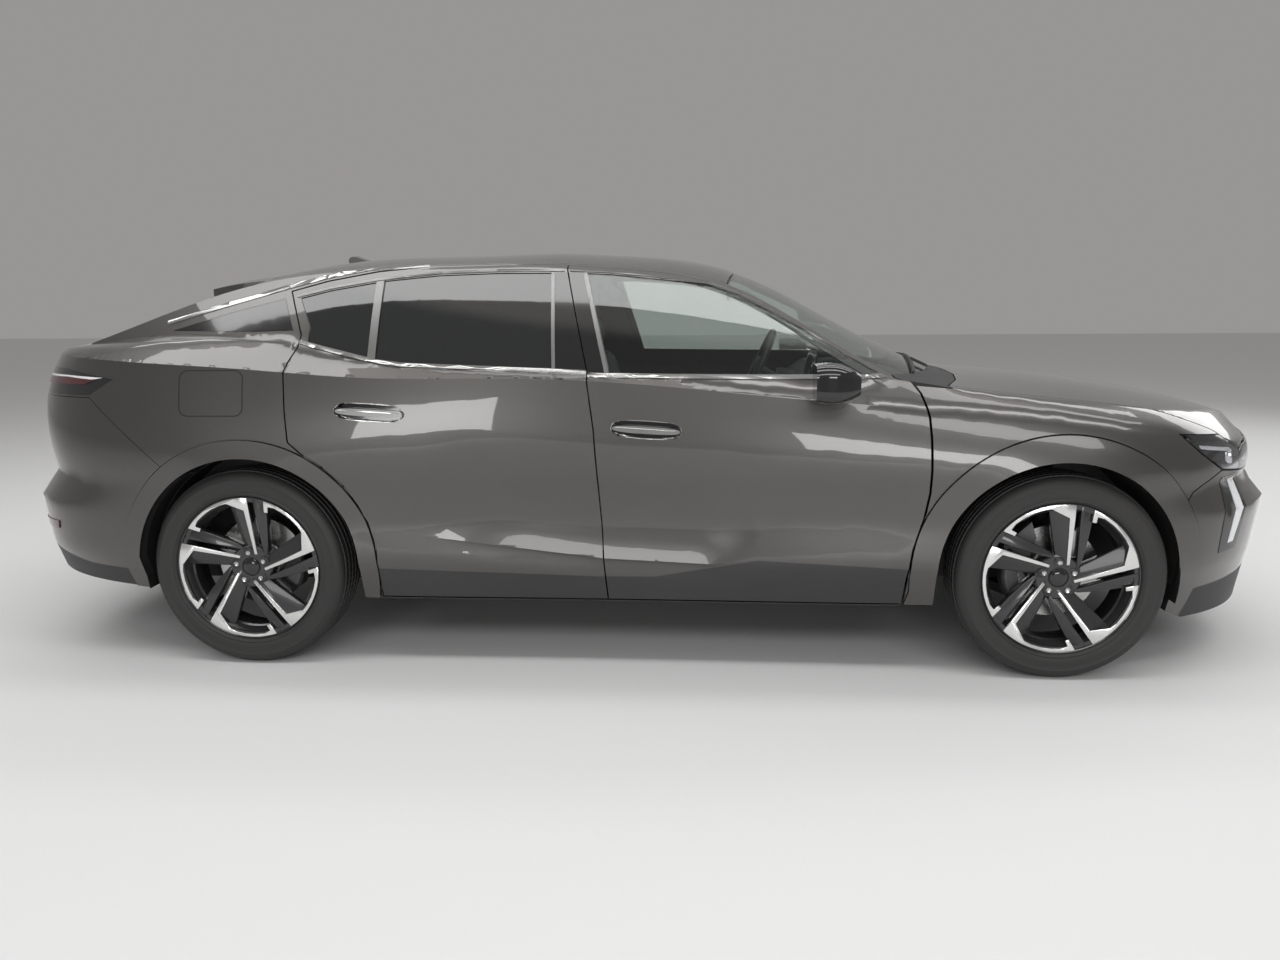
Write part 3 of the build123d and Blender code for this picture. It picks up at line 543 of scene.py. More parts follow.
# %% Finishes by slot
FINISHES = {
    "body_paint": finish("graphite_paint", (0.088, 0.085, 0.081), (0.104, 0.100, 0.095), 0.31, 0.03, 0.85,
                         3.0, 2600.0, 0.05, Coat_Weight=1.0, Coat_Roughness=0.02),
    "dark_trim": finish("dark_plastic", (0.022, 0.022, 0.023), (0.030, 0.030, 0.031), 0.48, 0.1, 0.0, 5.0,
                        900.0, 0.25),
    "gloss_black": finish("gloss_black", (0.008, 0.008, 0.009), (0.012, 0.012, 0.013), 0.09, 0.02, 0.0, 4.0,
                          60.0, 0.0, Coat_Weight=0.6),
    "clear_glass": finish("tinted_glass", (0.80, 0.87, 0.84), (0.76, 0.84, 0.81), 0.015, 0.01, 0.0, 1.5,
                          60.0, 0.0, Transmission_Weight=1.0, IOR=1.45),
    "privacy_glass": finish("privacy_glass", (0.012, 0.013, 0.014), (0.017, 0.018, 0.019), 0.03, 0.01, 0.0,
                            1.5, 60.0, 0.0, Coat_Weight=0.5),
    "lamp_clear": finish("lamp_clear", (0.93, 0.94, 0.96), (0.9, 0.91, 0.93), 0.02, 0.01, 0.0, 8.0, 60.0,
                         0.0, Transmission_Weight=1.0, IOR=1.45),
    "lamp_red": finish("smoked_red", (0.055, 0.006, 0.008), (0.075, 0.009, 0.01), 0.07, 0.02, 0.0, 9.0,
                       60.0, 0.0, Coat_Weight=0.8),
    "tyre_rubber": finish("tyre_rubber", (0.020, 0.0195, 0.019), (0.030, 0.029, 0.028), 0.6, 0.15, 0.0,
                          12.0, 1200.0, 0.35),
    "wheel_alloy": finish("wheel_graphite", (0.030, 0.030, 0.031), (0.040, 0.040, 0.042), 0.26, 0.06, 0.35,
                          8.0, 1500.0, 0.04, Coat_Weight=0.6),
    "cast_metal": finish("cast_metal", (0.16, 0.16, 0.165), (0.10, 0.095, 0.09), 0.55, 0.2, 0.8, 18.0,
                         500.0, 0.6),
    "black_steel": finish("black_steel", (0.020, 0.020, 0.021), (0.034, 0.031, 0.029), 0.5, 0.15, 0.2, 9.0,
                          700.0, 0.3),
    "steel": finish("pipe_steel", (0.34, 0.33, 0.32), (0.24, 0.22, 0.20), 0.36, 0.15, 1.0, 10.0, 800.0,
                    0.15),
    "seat_fabric": cloth("seat_fabric", (0.028, 0.028, 0.031), (0.065, 0.065, 0.07)),
    "soft_trim": finish("soft_trim", (0.020, 0.020, 0.022), (0.028, 0.028, 0.030), 0.66, 0.1, 0.0, 6.0,
                        520.0, 0.5),
    "wheel_leather": finish("wheel_leather", (0.016, 0.016, 0.017), (0.024, 0.024, 0.025), 0.45, 0.12, 0.0,
                            30.0, 420.0, 0.6),
}
print("made", len(FINISHES), "finishes, one for each slot")

# %% Finishes that share a slot
MACHINED = finish("machined_alloy", (0.80, 0.80, 0.79), (0.74, 0.74, 0.73), 0.2, 0.05, 0.9, 14.0, 1800.0,
                  0.04, Coat_Weight=0.4)
DISC_STEEL = finish("disc_steel", (0.50, 0.50, 0.49), (0.38, 0.38, 0.37), 0.28, 0.1, 1.0, 30.0, 1400.0, 0.1)
BRIGHT_TRIM = finish("bright_trim", (0.55, 0.55, 0.54), (0.48, 0.48, 0.47), 0.2, 0.05, 1.0, 5.0, 900.0,
                     0.03)
SATIN_TRIM = finish("satin_black_trim", (0.03, 0.03, 0.031), (0.04, 0.04, 0.041), 0.28, 0.05, 0.3, 5.0,
                    900.0, 0.05)
SILL_PAINT = finish("sill_plastic", (0.030, 0.030, 0.031), (0.040, 0.040, 0.041), 0.34, 0.06, 0.2, 4.0,
                    1200.0, 0.08, Coat_Weight=0.3)
LAMP_SILVER = finish("lamp_reflector", (0.82, 0.83, 0.85), (0.7, 0.71, 0.73), 0.12, 0.05, 1.0, 30.0, 300.0,
                     0.02)
# A pale finish for the headlamp and corner light strips. Along the tail lamps it is a painted highlight
# that stands for the lens's reflection.
LAMP_STRIP_AND_PAINTED_GLINT = finish("light_strip", (0.88, 0.89, 0.91), (0.80, 0.81, 0.83), 0.18, 0.04, 0.0, 30.0, 300.0,
                     0.0, Coat_Weight=1.0)
PLATE_WHITE = finish("plate_white", (0.78, 0.78, 0.76), (0.72, 0.72, 0.70), 0.4, 0.08, 0.0, 8.0, 500.0,
                     0.05)
print("made the finer finishes")

# %% Give every node of the frame its finish
record = frame["record"]
slot_of = {row["node"]: row["material_slot"] for row in record["subparts"]}
for name, node in nodes.items():
    node.data.materials.clear()
    node.data.materials.append(FINISHES[slot_of[name]])
print("finished", len(slot_of), "nodes in", len(FINISHES), "finishes")

# %% [markdown]
# The painted panels carry the look of the whole car, because the eye follows the light along them. Each
# one is a copy of its frame panel, with its loose triangles merged, so the light runs on smoothly from
# face to face. A narrow bevel rounds its edges, as pressed steel is folded round its edges, and gives each
# gap between two panels its thin bright line. The inner side of a door or wall wears the cabin's trim.

# %% Cut a panel's outer side along a grid
GRID, ON_LINE, ALONG_AXIS, SEEN = 0.03, 0.002, 0.8, 0.1


def side_out(centre):
    return Vector((0, centre.y, max(0.0, centre.z - 0.9) * 0.6)).normalized()


def refine(piece, outward, axes=(0, 1, 2)):
    """Cut a panel's outer faces along an even grid, so that light can be spread smoothly over them."""
    mesh = bmesh.new()
    mesh.from_mesh(piece.data)
    for axis in axes:
        marks = [corner.co[axis] for corner in mesh.verts]
        at, line = math.ceil(min(marks) / GRID) * GRID, Vector((0, 0, 0))
        line[axis] = 1.0
        while at < max(marks):
            here = []
            for face in mesh.faces:
                span = [corner.co[axis] for corner in face.verts]
                crossed = min(span) < at - ON_LINE and max(span) > at + ON_LINE
                if crossed and abs(face.normal[axis]) < ALONG_AXIS:
                    if face.normal.dot(outward(face.calc_center_median())) > SEEN:
                        here.append(face)
            if here:
                parts = dict.fromkeys(part for face in here for part in (*face.edges, *face.verts))
                bmesh.ops.bisect_plane(mesh, geom=here + list(parts), plane_co=line * at, plane_no=line)
            at += GRID
    mesh.to_mesh(piece.data)
    mesh.free()


print("panels are cut every", GRID, "m")

# %% Painted panels
SHUT_BEVEL, FOLD_ANGLE, BACK_FACING = 0.0022, 38, -0.25
body_of = {name: body for body, names in record["behaviour"]["bodies"].items() for name in names}


def painted(name, inner_slot, outward):
    piece = panel_copy("skin_" + name, name)
    edit_all(piece)
    bpy.ops.mesh.dissolve_degenerate(threshold=0.0002)
    leave()
    refine(piece, outward)
    rounded(piece, SHUT_BEVEL, 2, FOLD_ANGLE)
    piece.data.materials.append(FINISHES["body_paint"])
    piece.data.materials.append(FINISHES[inner_slot])
    inner = [int(face.normal.dot(outward(face.center)) < BACK_FACING) for face in piece.data.polygons]
    piece.data.polygons.foreach_set("material_index", inner)
    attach(piece, body_of[name])
    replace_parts(piece, name)
    return piece


# %% Which way each panel faces
def upward(_):
    return Vector(STRAIGHT_UP)


def lid_out(centre):
    return Vector((max(0.0, centre.x - 1.85) * 4.0, 0, 1)).normalized()


def gate_out(_):
    return Vector((-1, 0, 0.6)).normalized()


def nose_out(centre):
    return Vector((centre.x, centre.y, 0.3)).normalized()


PANELS = [("front_door_left", "soft_trim", side_out), ("rear_door_left", "soft_trim", side_out),
          ("front_door_right", "soft_trim", side_out), ("rear_door_right", "soft_trim", side_out),
          ("body_sides", "soft_trim", side_out), ("front_fenders", "dark_trim", side_out),
          ("arch_trims", "dark_trim", side_out), ("bonnet", "dark_trim", lid_out),
          ("roof_panel", "soft_trim", upward), ("tailgate", "soft_trim", gate_out),
          ("front_bumper", "dark_trim", nose_out), ("rear_bumper", "dark_trim", nose_out)]
for name, inner_slot, outward in PANELS:
    painted(name, inner_slot, outward)
print("painted", len(PANELS), "panels")

# %% Helpers for zones on a panel and for finding its surface
def near_outline(outline, view, margin):
    first, second = VIEWS[view][:2]
    low = [min(p[k] for p in outline) - margin for k in (0, 1)]
    high = [max(p[k] for p in outline) + margin for k in (0, 1)]
    return lambda c: low[0] < c[first] < high[0] and low[1] < c[second] < high[1]


def zone(piece, outline, material, view="side", keep=None):
    """Cut an outline into a finished panel and give the faces inside it another material."""
    first, second, look = VIEWS[view]
    keep = keep or (lambda c, n: n.dot(look) > 0.1)
    near = near_outline(outline, view, 0.12)
    for place, across_edge in cut_planes(outline, view):
        pick(piece, lambda c, n: near(c) and keep(c, n))
        bpy.ops.mesh.bisect(plane_co=place, plane_no=across_edge)
        leave()
    piece.data.materials.append(material)
    index = len(piece.data.materials) - 1
    for face in piece.data.polygons:
        if keep(face.center, face.normal) and inside(face.center[first], face.center[second], outline):
            face.material_index = index


trees = {}


def touch(node, start, toward):
    """Where a straight line first meets a frame node, and that surface's normal."""
    if node not in trees:
        mesh = nodes[node].data
        trees[node] = BVHTree.FromPolygons([corner.co.copy() for corner in mesh.vertices],
                                           [tuple(face.vertices) for face in mesh.polygons])
    return trees[node].ray_cast(Vector(start), Vector(toward).normalized())[:2]


def skin(name):
    return bpy.data.objects["skin_" + name]


print("zones and surface points ready")


# %% [markdown]
# A cast alloy wheel is one casting with two finishes. The whole casting is painted graphite, then its
# front is turned in a lathe, which leaves bright machined faces. Here each of the five sectors has a bright
# line that flares into a patch at the rim and runs on as an arc with a short hook, a dark web beside the
# line, a dark slot, and a wide dark blade. One sector is modelled flat, given its dish, and copied round.

# %% Wheel measures
tyre_low, tyre_high = box_of("tyre_front_right")
rim_low, rim_high = box_of("rim_front_right")
TYRE_R = (tyre_high.z - tyre_low.z) / 2
RIM_R = (rim_high.z - rim_low.z) / 2
FACE, DISH, DISH_CURVE, SECTORS = 0.003, 0.024, 1.3, 5
print("tyre radius", round(TYRE_R, 4), "rim radius", round(RIM_R, 4))


def polar(radius, degrees):
    return radius * math.cos(math.radians(degrees)), radius * math.sin(math.radians(degrees))


# %% [markdown]
# Each outline is drawn with its first measure outward along the bright line and its second measure
# anticlockwise across it, as shares of the rim's radius. A wheel face lies in X and Z, and Y is depth.

# %% Outlines of one sector
BRIGHT = ([(0.17, -0.086), (0.17, -0.124), (0.55, -0.131), (0.80, -0.135)]
          + [polar(0.985, a) for a in (-7.9, 0, 8, 16, 24, 32, 40, 50.3)]
          + [polar(0.825, 47.2), polar(0.838, 43.8), polar(0.915, 45.4)]
          + [polar(0.938, a) for a in (40, 32, 24, 16)]
          + [polar(0.928, 10.0), (0.80, -0.066), (0.55, -0.076)])
WEB = [(0.12, -0.12), (0.94, -0.12), polar(0.945, 10.5), (0.81, 0.155), (0.50, 0.095), (0.24, 0.045),
       (0.14, 0.02)]
BLADE = [(0.13, -0.215), (0.50, -0.208), (0.96, -0.205), (0.915, -0.375), (0.60, -0.345), (0.31, -0.300),
         (0.17, -0.265)]


def wheel_plate(name, outline, front, back, bevel):
    flat = [(v * RIM_R * -1.0, front, u * RIM_R) for u, v in outline]
    return plate(name, flat, (0, back - front, 0), bevel)


print("sector outlines of", len(BRIGHT), len(WEB), "and", len(BLADE), "points")


# %% Make one sector, then five
SPOKE_FRONT = 0.03


def fall_back(piece, sign, start, slope):
    """Let a spoke's front fall back as it goes away from the bright line."""
    for corner in piece.data.vertices:
        if corner.co.y < SPOKE_FRONT:
            corner.co.y += max(0.0, sign * corner.co.x / RIM_R - start) * slope


def sector():
    bright = wheel_plate("sector_bright", BRIGHT, FACE, FACE + 0.007, 0.0009)
    web = wheel_plate("sector_web", WEB, FACE + 0.004, FACE + 0.046, 0.003)
    blade = wheel_plate("sector_blade", BLADE, FACE + 0.004, FACE + 0.042, 0.003)
    fall_back(web, -1, -0.02, 0.13)
    fall_back(blade, 1, 0.22, 0.05)
    return bright, web, blade


def around(piece, name):
    turned = [copied(piece, name, Matrix.Rotation(2 * math.pi * n / SECTORS, 4, "Y"))
              for n in range(SECTORS)]
    bpy.data.objects.remove(piece)
    whole = join(turned, name)
    for corner in whole.data.vertices:
        reach = min(1.0, math.hypot(corner.co.x, corner.co.z) / RIM_R)
        corner.co.y += DISH * (1 - reach) ** DISH_CURVE
    return whole


bright, web, blade = sector()
bright_faces = around(bright, "bright_faces")
dark_spokes = join([around(web, "webs"), around(blade, "blades")], "dark_spokes")
smooth(bright_faces, 25)
smooth(dark_spokes, 30)
print("bright faces", len(bright_faces.data.polygons), "dark spokes", len(dark_spokes.data.polygons))

# %% [markdown]
# Behind the spokes are the parts made by turning: the rim's lip and barrel with its well, the hub that
# the bolts pass through, and the bare centre cap. Each is a traced profile, spun round the wheel's axis.

# %% Turned parts of the wheel
CENTRE, AXIS, BOLT_CIRCLE = (0, 0, 0), (0, 1, 0), 0.052


def turned(name, profile, steps):
    """A profile of depths and radii, spun round the wheel's axis."""
    return spun(name, [(0, depth, radius) for depth, radius in profile], CENTRE, AXIS, steps)


barrel = turned("barrel", [(0.170, 0.2465), (0.018, 0.2465), (0.010, 0.2555), (0.003, 0.2575),
                           (0.001, 0.2562), (0.003, 0.2525), (0.0085, 0.2510), (0.0095, 0.2385),
                           (0.016, 0.2350), (0.040, 0.2335), (0.052, 0.2215), (0.098, 0.2195),
                           (0.112, 0.2330), (0.160, 0.2345), (0.178, 0.2480), (0.186, 0.2560),
                           (0.189, 0.2540), (0.182, 0.2465), (0.170, 0.2465)], 96)
hub = turned("hub", [(0.030, 0.0), (0.030, 0.031), (0.0265, 0.034), (0.0265, 0.072), (0.031, 0.077),
                     (0.062, 0.083), (0.100, 0.078), (0.100, 0.0)], 60)
cap = turned("cap", [(0.0205, 0.0), (0.0208, 0.012), (0.0222, 0.021), (0.0246, 0.0262), (0.0252, 0.0285),
                     (0.0310, 0.0295), (0.0310, 0.0)], 48)
inner_band = turned("casting", [(0.040, 0.2240), (0.020, 0.2330), (0.009, 0.2400), (0.009, 0.2500),
                                (0.022, 0.2500), (0.040, 0.2400)], 96)
disc = turned("disc", [(0.094, 0.030), (0.094, 0.071), (0.113, 0.074), (0.112, 0.078), (0.112, 0.1585),
                       (0.1135, 0.160), (0.1325, 0.160), (0.134, 0.1585), (0.134, 0.070), (0.118, 0.062),
                       (0.100, 0.058), (0.100, 0.030)], 72)
print("turned barrel, hub, cap, band and disc")


# %% Lug bolts
def lug_bolt():
    bpy.ops.object.select_all(action="DESELECT")
    bpy.ops.mesh.primitive_cylinder_add(vertices=6, radius=0.0095, depth=0.012,
                                        location=(0, 0.024, BOLT_CIRCLE), rotation=(math.pi / 2, 0, 0))
    bolt = bpy.context.object
    bpy.ops.object.transform_apply(location=True, rotation=True, scale=True)
    pick(bolt, lambda c, n: n.y < -0.9)
    inset_and_push(0.003, (0, 0.004, 0))
    leave()
    rounded(bolt, 0.0009, 2)
    seat = turned("bolt_seat", [(0.0272, 0.0), (0.0272, 0.0145), (0.0250, 0.0165), (0.0250, 0.0180),
                                (0.0268, 0.0190)], 24)
    seat.data.transform(Matrix.Translation((0, 0, BOLT_CIRCLE)))
    return bolt, seat


bolt, seat = lug_bolt()
bolts, seats = around(bolt, "lug_bolts"), around(seat, "bolt_seats")
for piece in (bolts, seats):
    for corner in piece.data.vertices:
        corner.co.y -= DISH * 0.8 ** DISH_CURVE
dark_casting = join([dark_spokes, barrel, hub, seats, inner_band], "dark_casting")
print("casting", len(dark_casting.data.polygons), "faces")

# %% [markdown]
# A road tyre has a rounded side wall with a small rib that guards the rim, and a tread of ribs cut by deep
# grooves that run round it. The profile is spun in ninety-six steps, and the faces of each rib are then
# inset and raised one by one, which cuts the cross grooves between the tread blocks.

# %% Tyre
GROOVES = (0.0475, 0.0775, 0.1065, 0.1365)
GROOVE_HALF, GROOVE_DEEP, GROOVE_SLOPE, BLOCK_RISE = 0.004, 0.0075, 0.0012, 0.0030
TREAD_R = TYRE_R - BLOCK_RISE - 0.0003


def tread_profile():
    points = [(-0.0060, TYRE_R - 0.047), (-0.0095, TYRE_R - 0.034), (-0.0048, TYRE_R - 0.0215),
              (0.003, TYRE_R - 0.0125), (0.0125, TYRE_R - 0.0068), (0.022, TREAD_R - 0.0016)]
    for groove in GROOVES:
        near, far, floor_r = groove - GROOVE_HALF, groove + GROOVE_HALF, TREAD_R - GROOVE_DEEP
        points += [(near, TREAD_R), (near + GROOVE_SLOPE, floor_r), (far - GROOVE_SLOPE, floor_r),
                   (far, TREAD_R)]
    points += [(0.162, TREAD_R - 0.0016), (0.172, TYRE_R - 0.0075), (0.181, TYRE_R - 0.016)]
    return points


WALL_OUT = [(0.020, 0.2475), (0.010, 0.2570), (0.0005, 0.2600), (-0.0048, 0.2640), (-0.0078, 0.2685),
            (-0.0060, 0.2722), (-0.0070, 0.2780), (-0.0098, 0.2880)]
WALL_IN = [(0.1895, 0.318), (0.1925, 0.300), (0.1920, 0.285), (0.188, 0.265), (0.176, 0.2560),
           (0.168, 0.2475), (0.020, 0.2475)]
tyre = turned("tyre", WALL_OUT + tread_profile() + WALL_IN, 96)


def on_tread(centre, normal):
    reach = math.hypot(centre.x, centre.z)
    return reach > TREAD_R - 0.0022 and 0.022 < centre.y < 0.164 and abs(normal.y) < 0.3


pick(tyre, on_tread)
bpy.ops.mesh.inset(thickness=0.0013, depth=BLOCK_RISE, use_individual=True)
leave()
smooth(tyre, 32)
print("tyre", len(tyre.data.polygons), "faces")


# %% [markdown]
# One wheel is now copied to its four places. Each copy takes its own mesh, turned to face outwards and
# stopped at the angle that a parked wheel happens to have, and rides on the body that its hub rides on.

# %% Place the four wheels
def wheel_place(end, side, turn):
    low, high = box_of("rim_{}_{}".format(end, side))
    middle = (low + high) / 2
    face_y = low.y if side == "right" else high.y
    half_turn = Matrix.Rotation(math.pi if side == "left" else 0.0, 4, "Z")
    return (Matrix.Translation((middle.x, face_y, middle.z)) @ half_turn
            @ Matrix.Rotation(math.radians(turn), 4, "Y"))


TURNS = {"front": 72.0, "rear": 66.5}
WHEEL_PARTS = [(dark_casting, "wheel_casting", "wheel_alloy", None),
               (bright_faces, "wheel_face", "wheel_alloy", MACHINED),
               (bolts, "wheel_bolts", "steel", BRIGHT_TRIM), (cap, "wheel_cap", "gloss_black", None),
               (disc, "brake_disc", "steel", DISC_STEEL), (tyre, "road_tyre", "tyre_rubber", None)]
for end in ("front", "rear"):
    for side in ("left", "right"):
        place, body = wheel_place(end, side, TURNS[end]), "wheel_{}_{}".format(end, side)
        tag = "_{}_{}".format(end, side)
        placed = [finish_piece(copied(part, label + tag, place), body, slot, look)
                  for part, label, slot, look in WHEEL_PARTS]
        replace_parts(placed[0], "rim" + tag)
        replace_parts(placed[-1], "tyre" + tag)
for row in WHEEL_PARTS:
    bpy.data.objects.remove(row[0])
print("four wheels placed")

# %% [markdown]
# The nose is where the car looks at you. Each headlamp is a clear lens over a black tray that holds small
# projectors, with a black strip along its top edge. A light strip stands in each corner of the bumper. The
# grille is a pattern of plain upright bars, and the lip below is bare dark plastic. Every piece is cut from
# the panel that it sits on, so each follows the nose as it turns from front to side.

# %% Cutting a piece from a panel
SAME_PLANE = math.radians(0.6)


def round_nose(centre, normal):
    return centre.y < 0 and normal.dot(Vector((max(0.0, centre.x - 1.35), centre.y, 0)).normalized()) > 0.45


def wrapped(name, node, outline, view="side", thickness=0.002, lift=0.0, keep=round_nose):
    """A piece that follows a panel: the panel's faces inside an outline, given a thickness."""
    first, second = VIEWS[view][:2]
    piece = panel_copy(name, node)
    delete_where(piece, lambda c, n: not keep(c, n))
    edit(piece)
    cut_outline(outline, view)
    leave()
    delete_where(piece, lambda c, n: not inside(c[first], c[second], outline))
    edit_all(piece)
    bpy.ops.mesh.dissolve_limited(angle_limit=SAME_PLANE)
    bpy.ops.mesh.quads_convert_to_tris()
    if lift:
        select_all()
        bpy.ops.transform.shrink_fatten(value=lift)
    leave()
    apply_modifier(piece, "SOLIDIFY", thickness=abs(thickness), offset=math.copysign(1.0, thickness),
                   use_even_offset=False)
    smooth(piece)
    return piece


print("pieces can be cut from a panel in", len(VIEWS), "views")

# %% Headlamp lens, brow and tray
LAMP_STRIP = [(1.790, 0.845), (1.980, 0.830), (2.150, 0.812), (2.420, 0.780), (2.420, 0.742),
              (2.150, 0.774), (1.985, 0.794), (1.850, 0.806)]
LAMP_LENS = [(1.800, 0.826), (1.850, 0.806), (1.985, 0.794), (2.150, 0.774), (2.420, 0.742), (2.420, 0.670),
             (2.090, 0.670), (1.960, 0.700), (1.870, 0.765)]
lens = wrapped("headlamp_lens", "headlamps", LAMP_LENS, thickness=-0.003)
strip = wrapped("headlamp_brow", "headlamps", LAMP_STRIP, thickness=-0.012, lift=0.0008)
tray = panel_copy("headlamp_tray", "headlamps")
delete_where(tray, lambda c, n: c.y > 0 or round_nose(c, n))
apply_modifier(tray, "SOLIDIFY", thickness=0.0015, offset=-1.0)
smooth(tray)
print("lens", len(lens.data.polygons), "brow", len(strip.data.polygons), "tray", len(tray.data.polygons))


# %% Headlamp projectors and light strip
PROJECTOR_SET = 0.016


def projector(name, y, z, width, height):
    """A square projector with a bright eye, set behind the lamp's surface."""
    place, normal = touch("headlamps", (3.0, y, z), (-1, 0, 0))
    body = plate(name, [(u, v, 0) for u, v in centred(width, height)], (0, 0, -0.02), 0)
    pick(body, lambda c, n: n.z > 0.9)
    inset_and_push(0.003, (0, 0, -0.004))
    inset_and_push(0.004, (0, 0, 0.006))
    leave()
    rounded(body, 0.0012, 2)
    turn = (normal + Vector((1.2, 0, 0))).normalized().to_track_quat("Z", "Y").to_matrix().to_4x4()
    body.data.transform(Matrix.Translation(place - normal * PROJECTOR_SET) @ turn)
    return body


projectors = join([projector("projector", y, z, 0.052, 0.042) for y, z in
                   ((-0.500, 0.728), (-0.575, 0.730), (-0.648, 0.734), (-0.715, 0.742))],
                  "headlamp_projectors")
blade_light = wrapped("headlamp_blade", "headlamps",
                      [(1.880, 0.792), (2.000, 0.776), (2.150, 0.757), (2.420, 0.726), (2.420, 0.716),
                       (2.150, 0.747), (1.995, 0.764), (1.885, 0.780)], thickness=0.003, lift=-0.012)
both_sides(lens, "body", "lamp_clear")
both_sides(strip, "body", "gloss_black")
right_tray = both_sides(tray, "body", "gloss_black")[0]
both_sides(projectors, "body", "lamp_clear", LAMP_SILVER)
both_sides(blade_light, "body", "lamp_clear", LAMP_STRIP_AND_PAINTED_GLINT)
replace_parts(right_tray, "headlamps")
print("headlamps dressed")

# %% Bumper corner lights and lip
CORNER_LIGHT = [(-0.742, 0.668), (-0.716, 0.672), (-0.730, 0.560), (-0.744, 0.455), (-0.762, 0.452),
                (-0.758, 0.560)]
corner = wrapped("corner_light", "front_bumper", CORNER_LIGHT, "front", 0.004, 0.0)
CORNER_SURROUND = [(-0.772, 0.678), (-0.700, 0.680), (-0.712, 0.560), (-0.722, 0.430), (-0.786, 0.420),
                   (-0.790, 0.560)]
surround = wrapped("corner_surround", "front_bumper", CORNER_SURROUND, "front", 0.0015)
both_sides(surround, "body", "gloss_black")
both_sides(corner, "body", "lamp_clear", LAMP_STRIP_AND_PAINTED_GLINT)


def nose_faces(centre, normal):
    return normal.dot(Vector((centre.x - 1.0, centre.y, 0)).normalized()) > -0.2


LIP = [(1.500, 0.080), (1.500, 0.262), (1.800, 0.282), (2.420, 0.352), (2.420, 0.080)]
zone(skin("front_bumper"), LIP, FINISHES["dark_trim"], "side", nose_faces)
print("corner lights and lip done")

# %% Grille bars and intake slats
GRILLE_REACH, BAR_LOW, BAR_HIGH, BAR_WIDTH, BAR_GAP = 0.60, 0.40, 0.80, 0.009, 0.021
SLAT_REACH, SLAT_HEIGHT, SLATS = 0.62, 0.007, (0.262, 0.286, 0.310, 0.334, 0.358)


def grille_bars():
    bars, y = [], BAR_GAP / 2
    while y < GRILLE_REACH:
        bars.append(wrapped("grille_bars", "grille", rectangle(-y - BAR_WIDTH, BAR_LOW, -y, BAR_HIGH),
                            "front", 0.010, 0.0, lambda c, n: n.x > 0.35))
        y += BAR_WIDTH + BAR_GAP
    return join(bars, "grille_bars")


both_sides(grille_bars(), "body", "gloss_black", SATIN_TRIM)
slats = join([wrapped("intake_slat", "grille", rectangle(-SLAT_REACH, z, 0.0, z + SLAT_HEIGHT), "front",
                      0.012, 0.0, lambda c, n: n.x > 0.35 and c.y < 0.001) for z in SLATS], "intake_slats")
both_sides(slats, "body", "dark_trim")
print("grille filled")

# %% Blank plate at the front
PLATE_WIDTH, PLATE_HEIGHT, PLATE_THICK, PLATE_GAP = 0.520, 0.111, 0.004, 0.006


def blank_plate(name, node, start, toward):
    """A plate with a raised rim and nothing on it, in front of the place where a line meets a panel."""
    place, outward = touch(node, start, toward)[0], -Vector(toward).normalized()
    face = [(0.0, y, h) for y, h in centred(PLATE_WIDTH, PLATE_HEIGHT)]
    piece = plate(name, face, outward * PLATE_THICK, 0)
    pick(piece, lambda c, n: n.dot(outward) > 0.9)
    inset_and_push(0.004, outward * -0.0008)
    leave()
    rounded(piece, 0.0006, 2)
    piece.data.transform(Matrix.Translation((place.x + outward.x * PLATE_GAP, 0.0, start[2])))
    return finish_piece(piece, "body", "dark_trim", PLATE_WHITE)


blank_plate("front_plate", "front_bumper", (3, 0, 0.470), (-1, 0, 0))
print("nose dressed")

# %% [markdown]
# The tail has a slim dark lamp on each side, joined by a dark band with a thin red strip across the
# tailgate. Below it the bumper is painted at the top and bare plastic below, where loads and kerbs touch
# it. The number plate is blank, in its own hollow, with a lamp on each side.

# %% Tail lamps and band
def round_tail(centre, normal):
    return centre.y < 0 and normal.dot(Vector((min(0.0, centre.x + 1.3), centre.y, 0)).normalized()) > 0.45


TAIL_STRIP = [(-1.860, 1.012), (-1.910, 0.996), (-2.420, 0.992), (-2.420, 1.014), (-1.990, 1.020)]
tail_strip = wrapped("tail_lamp_strip", "tail_lamps", TAIL_STRIP, "side", 0.005, 0.0, round_tail)
# The pale strip along each tail lamp's top edge is a painted highlight: the glossy lens's reflection of the
# hall's light.
tail_glint = wrapped("tail_lamp_edge", "tail_lamps", [(-1.830, 1.020), (-1.875, 1.013), (-2.420, 1.024),
                                                     (-2.420, 1.028), (-1.990, 1.026)], "side", 0.003, 0.0,
                    round_tail)
both_sides(tail_strip, "body", "lamp_red")
both_sides(tail_glint, "body", "lamp_clear", LAMP_STRIP_AND_PAINTED_GLINT)
nodes["tail_lamps"].data.materials[0] = FINISHES["gloss_black"]


zone(skin("tailgate"), rectangle(-0.700, 0.944, 0.700, 1.056), FINISHES["gloss_black"], "rear",
     lambda c, n: n.x < 0.2 and c.x < -2.0)
tail_band = wrapped("tail_band_strip", "tailgate", rectangle(-0.685, 0.994, 0.0, 1.012), "rear", 0.006, 0.0,
                    lambda c, n: n.x < -0.4 and c.y < 0.001 and c.x < -2.05)
both_sides(tail_band, "tailgate", "lamp_red")
print("tail lamps dressed")

# %% Rear bumper and plate
def tail_faces(centre, normal):
    return normal.dot(Vector((centre.x + 1.2, centre.y, 0)).normalized()) > -0.2


VALANCE = [(-1.450, 0.100), (-1.660, 0.330), (-1.960, 0.352), (-2.300, 0.425), (-2.450, 0.440),
           (-2.450, 0.100)]
zone(skin("rear_bumper"), VALANCE, FINISHES["dark_trim"], "side", tail_faces)
blank_plate("rear_plate", "rear_bumper", (-3, 0, 0.672), (1, 0, 0))
reflector = wrapped("rear_reflector", "rear_bumper", [(-0.800, 0.470), (-0.600, 0.462), (-0.600, 0.486),
                                                      (-0.805, 0.498)], "rear", 0.004, 0.0,
                    lambda c, n: n.x < -0.3 and c.y < 0)
both_sides(reflector, "body", "lamp_red")
print("tail dressed")

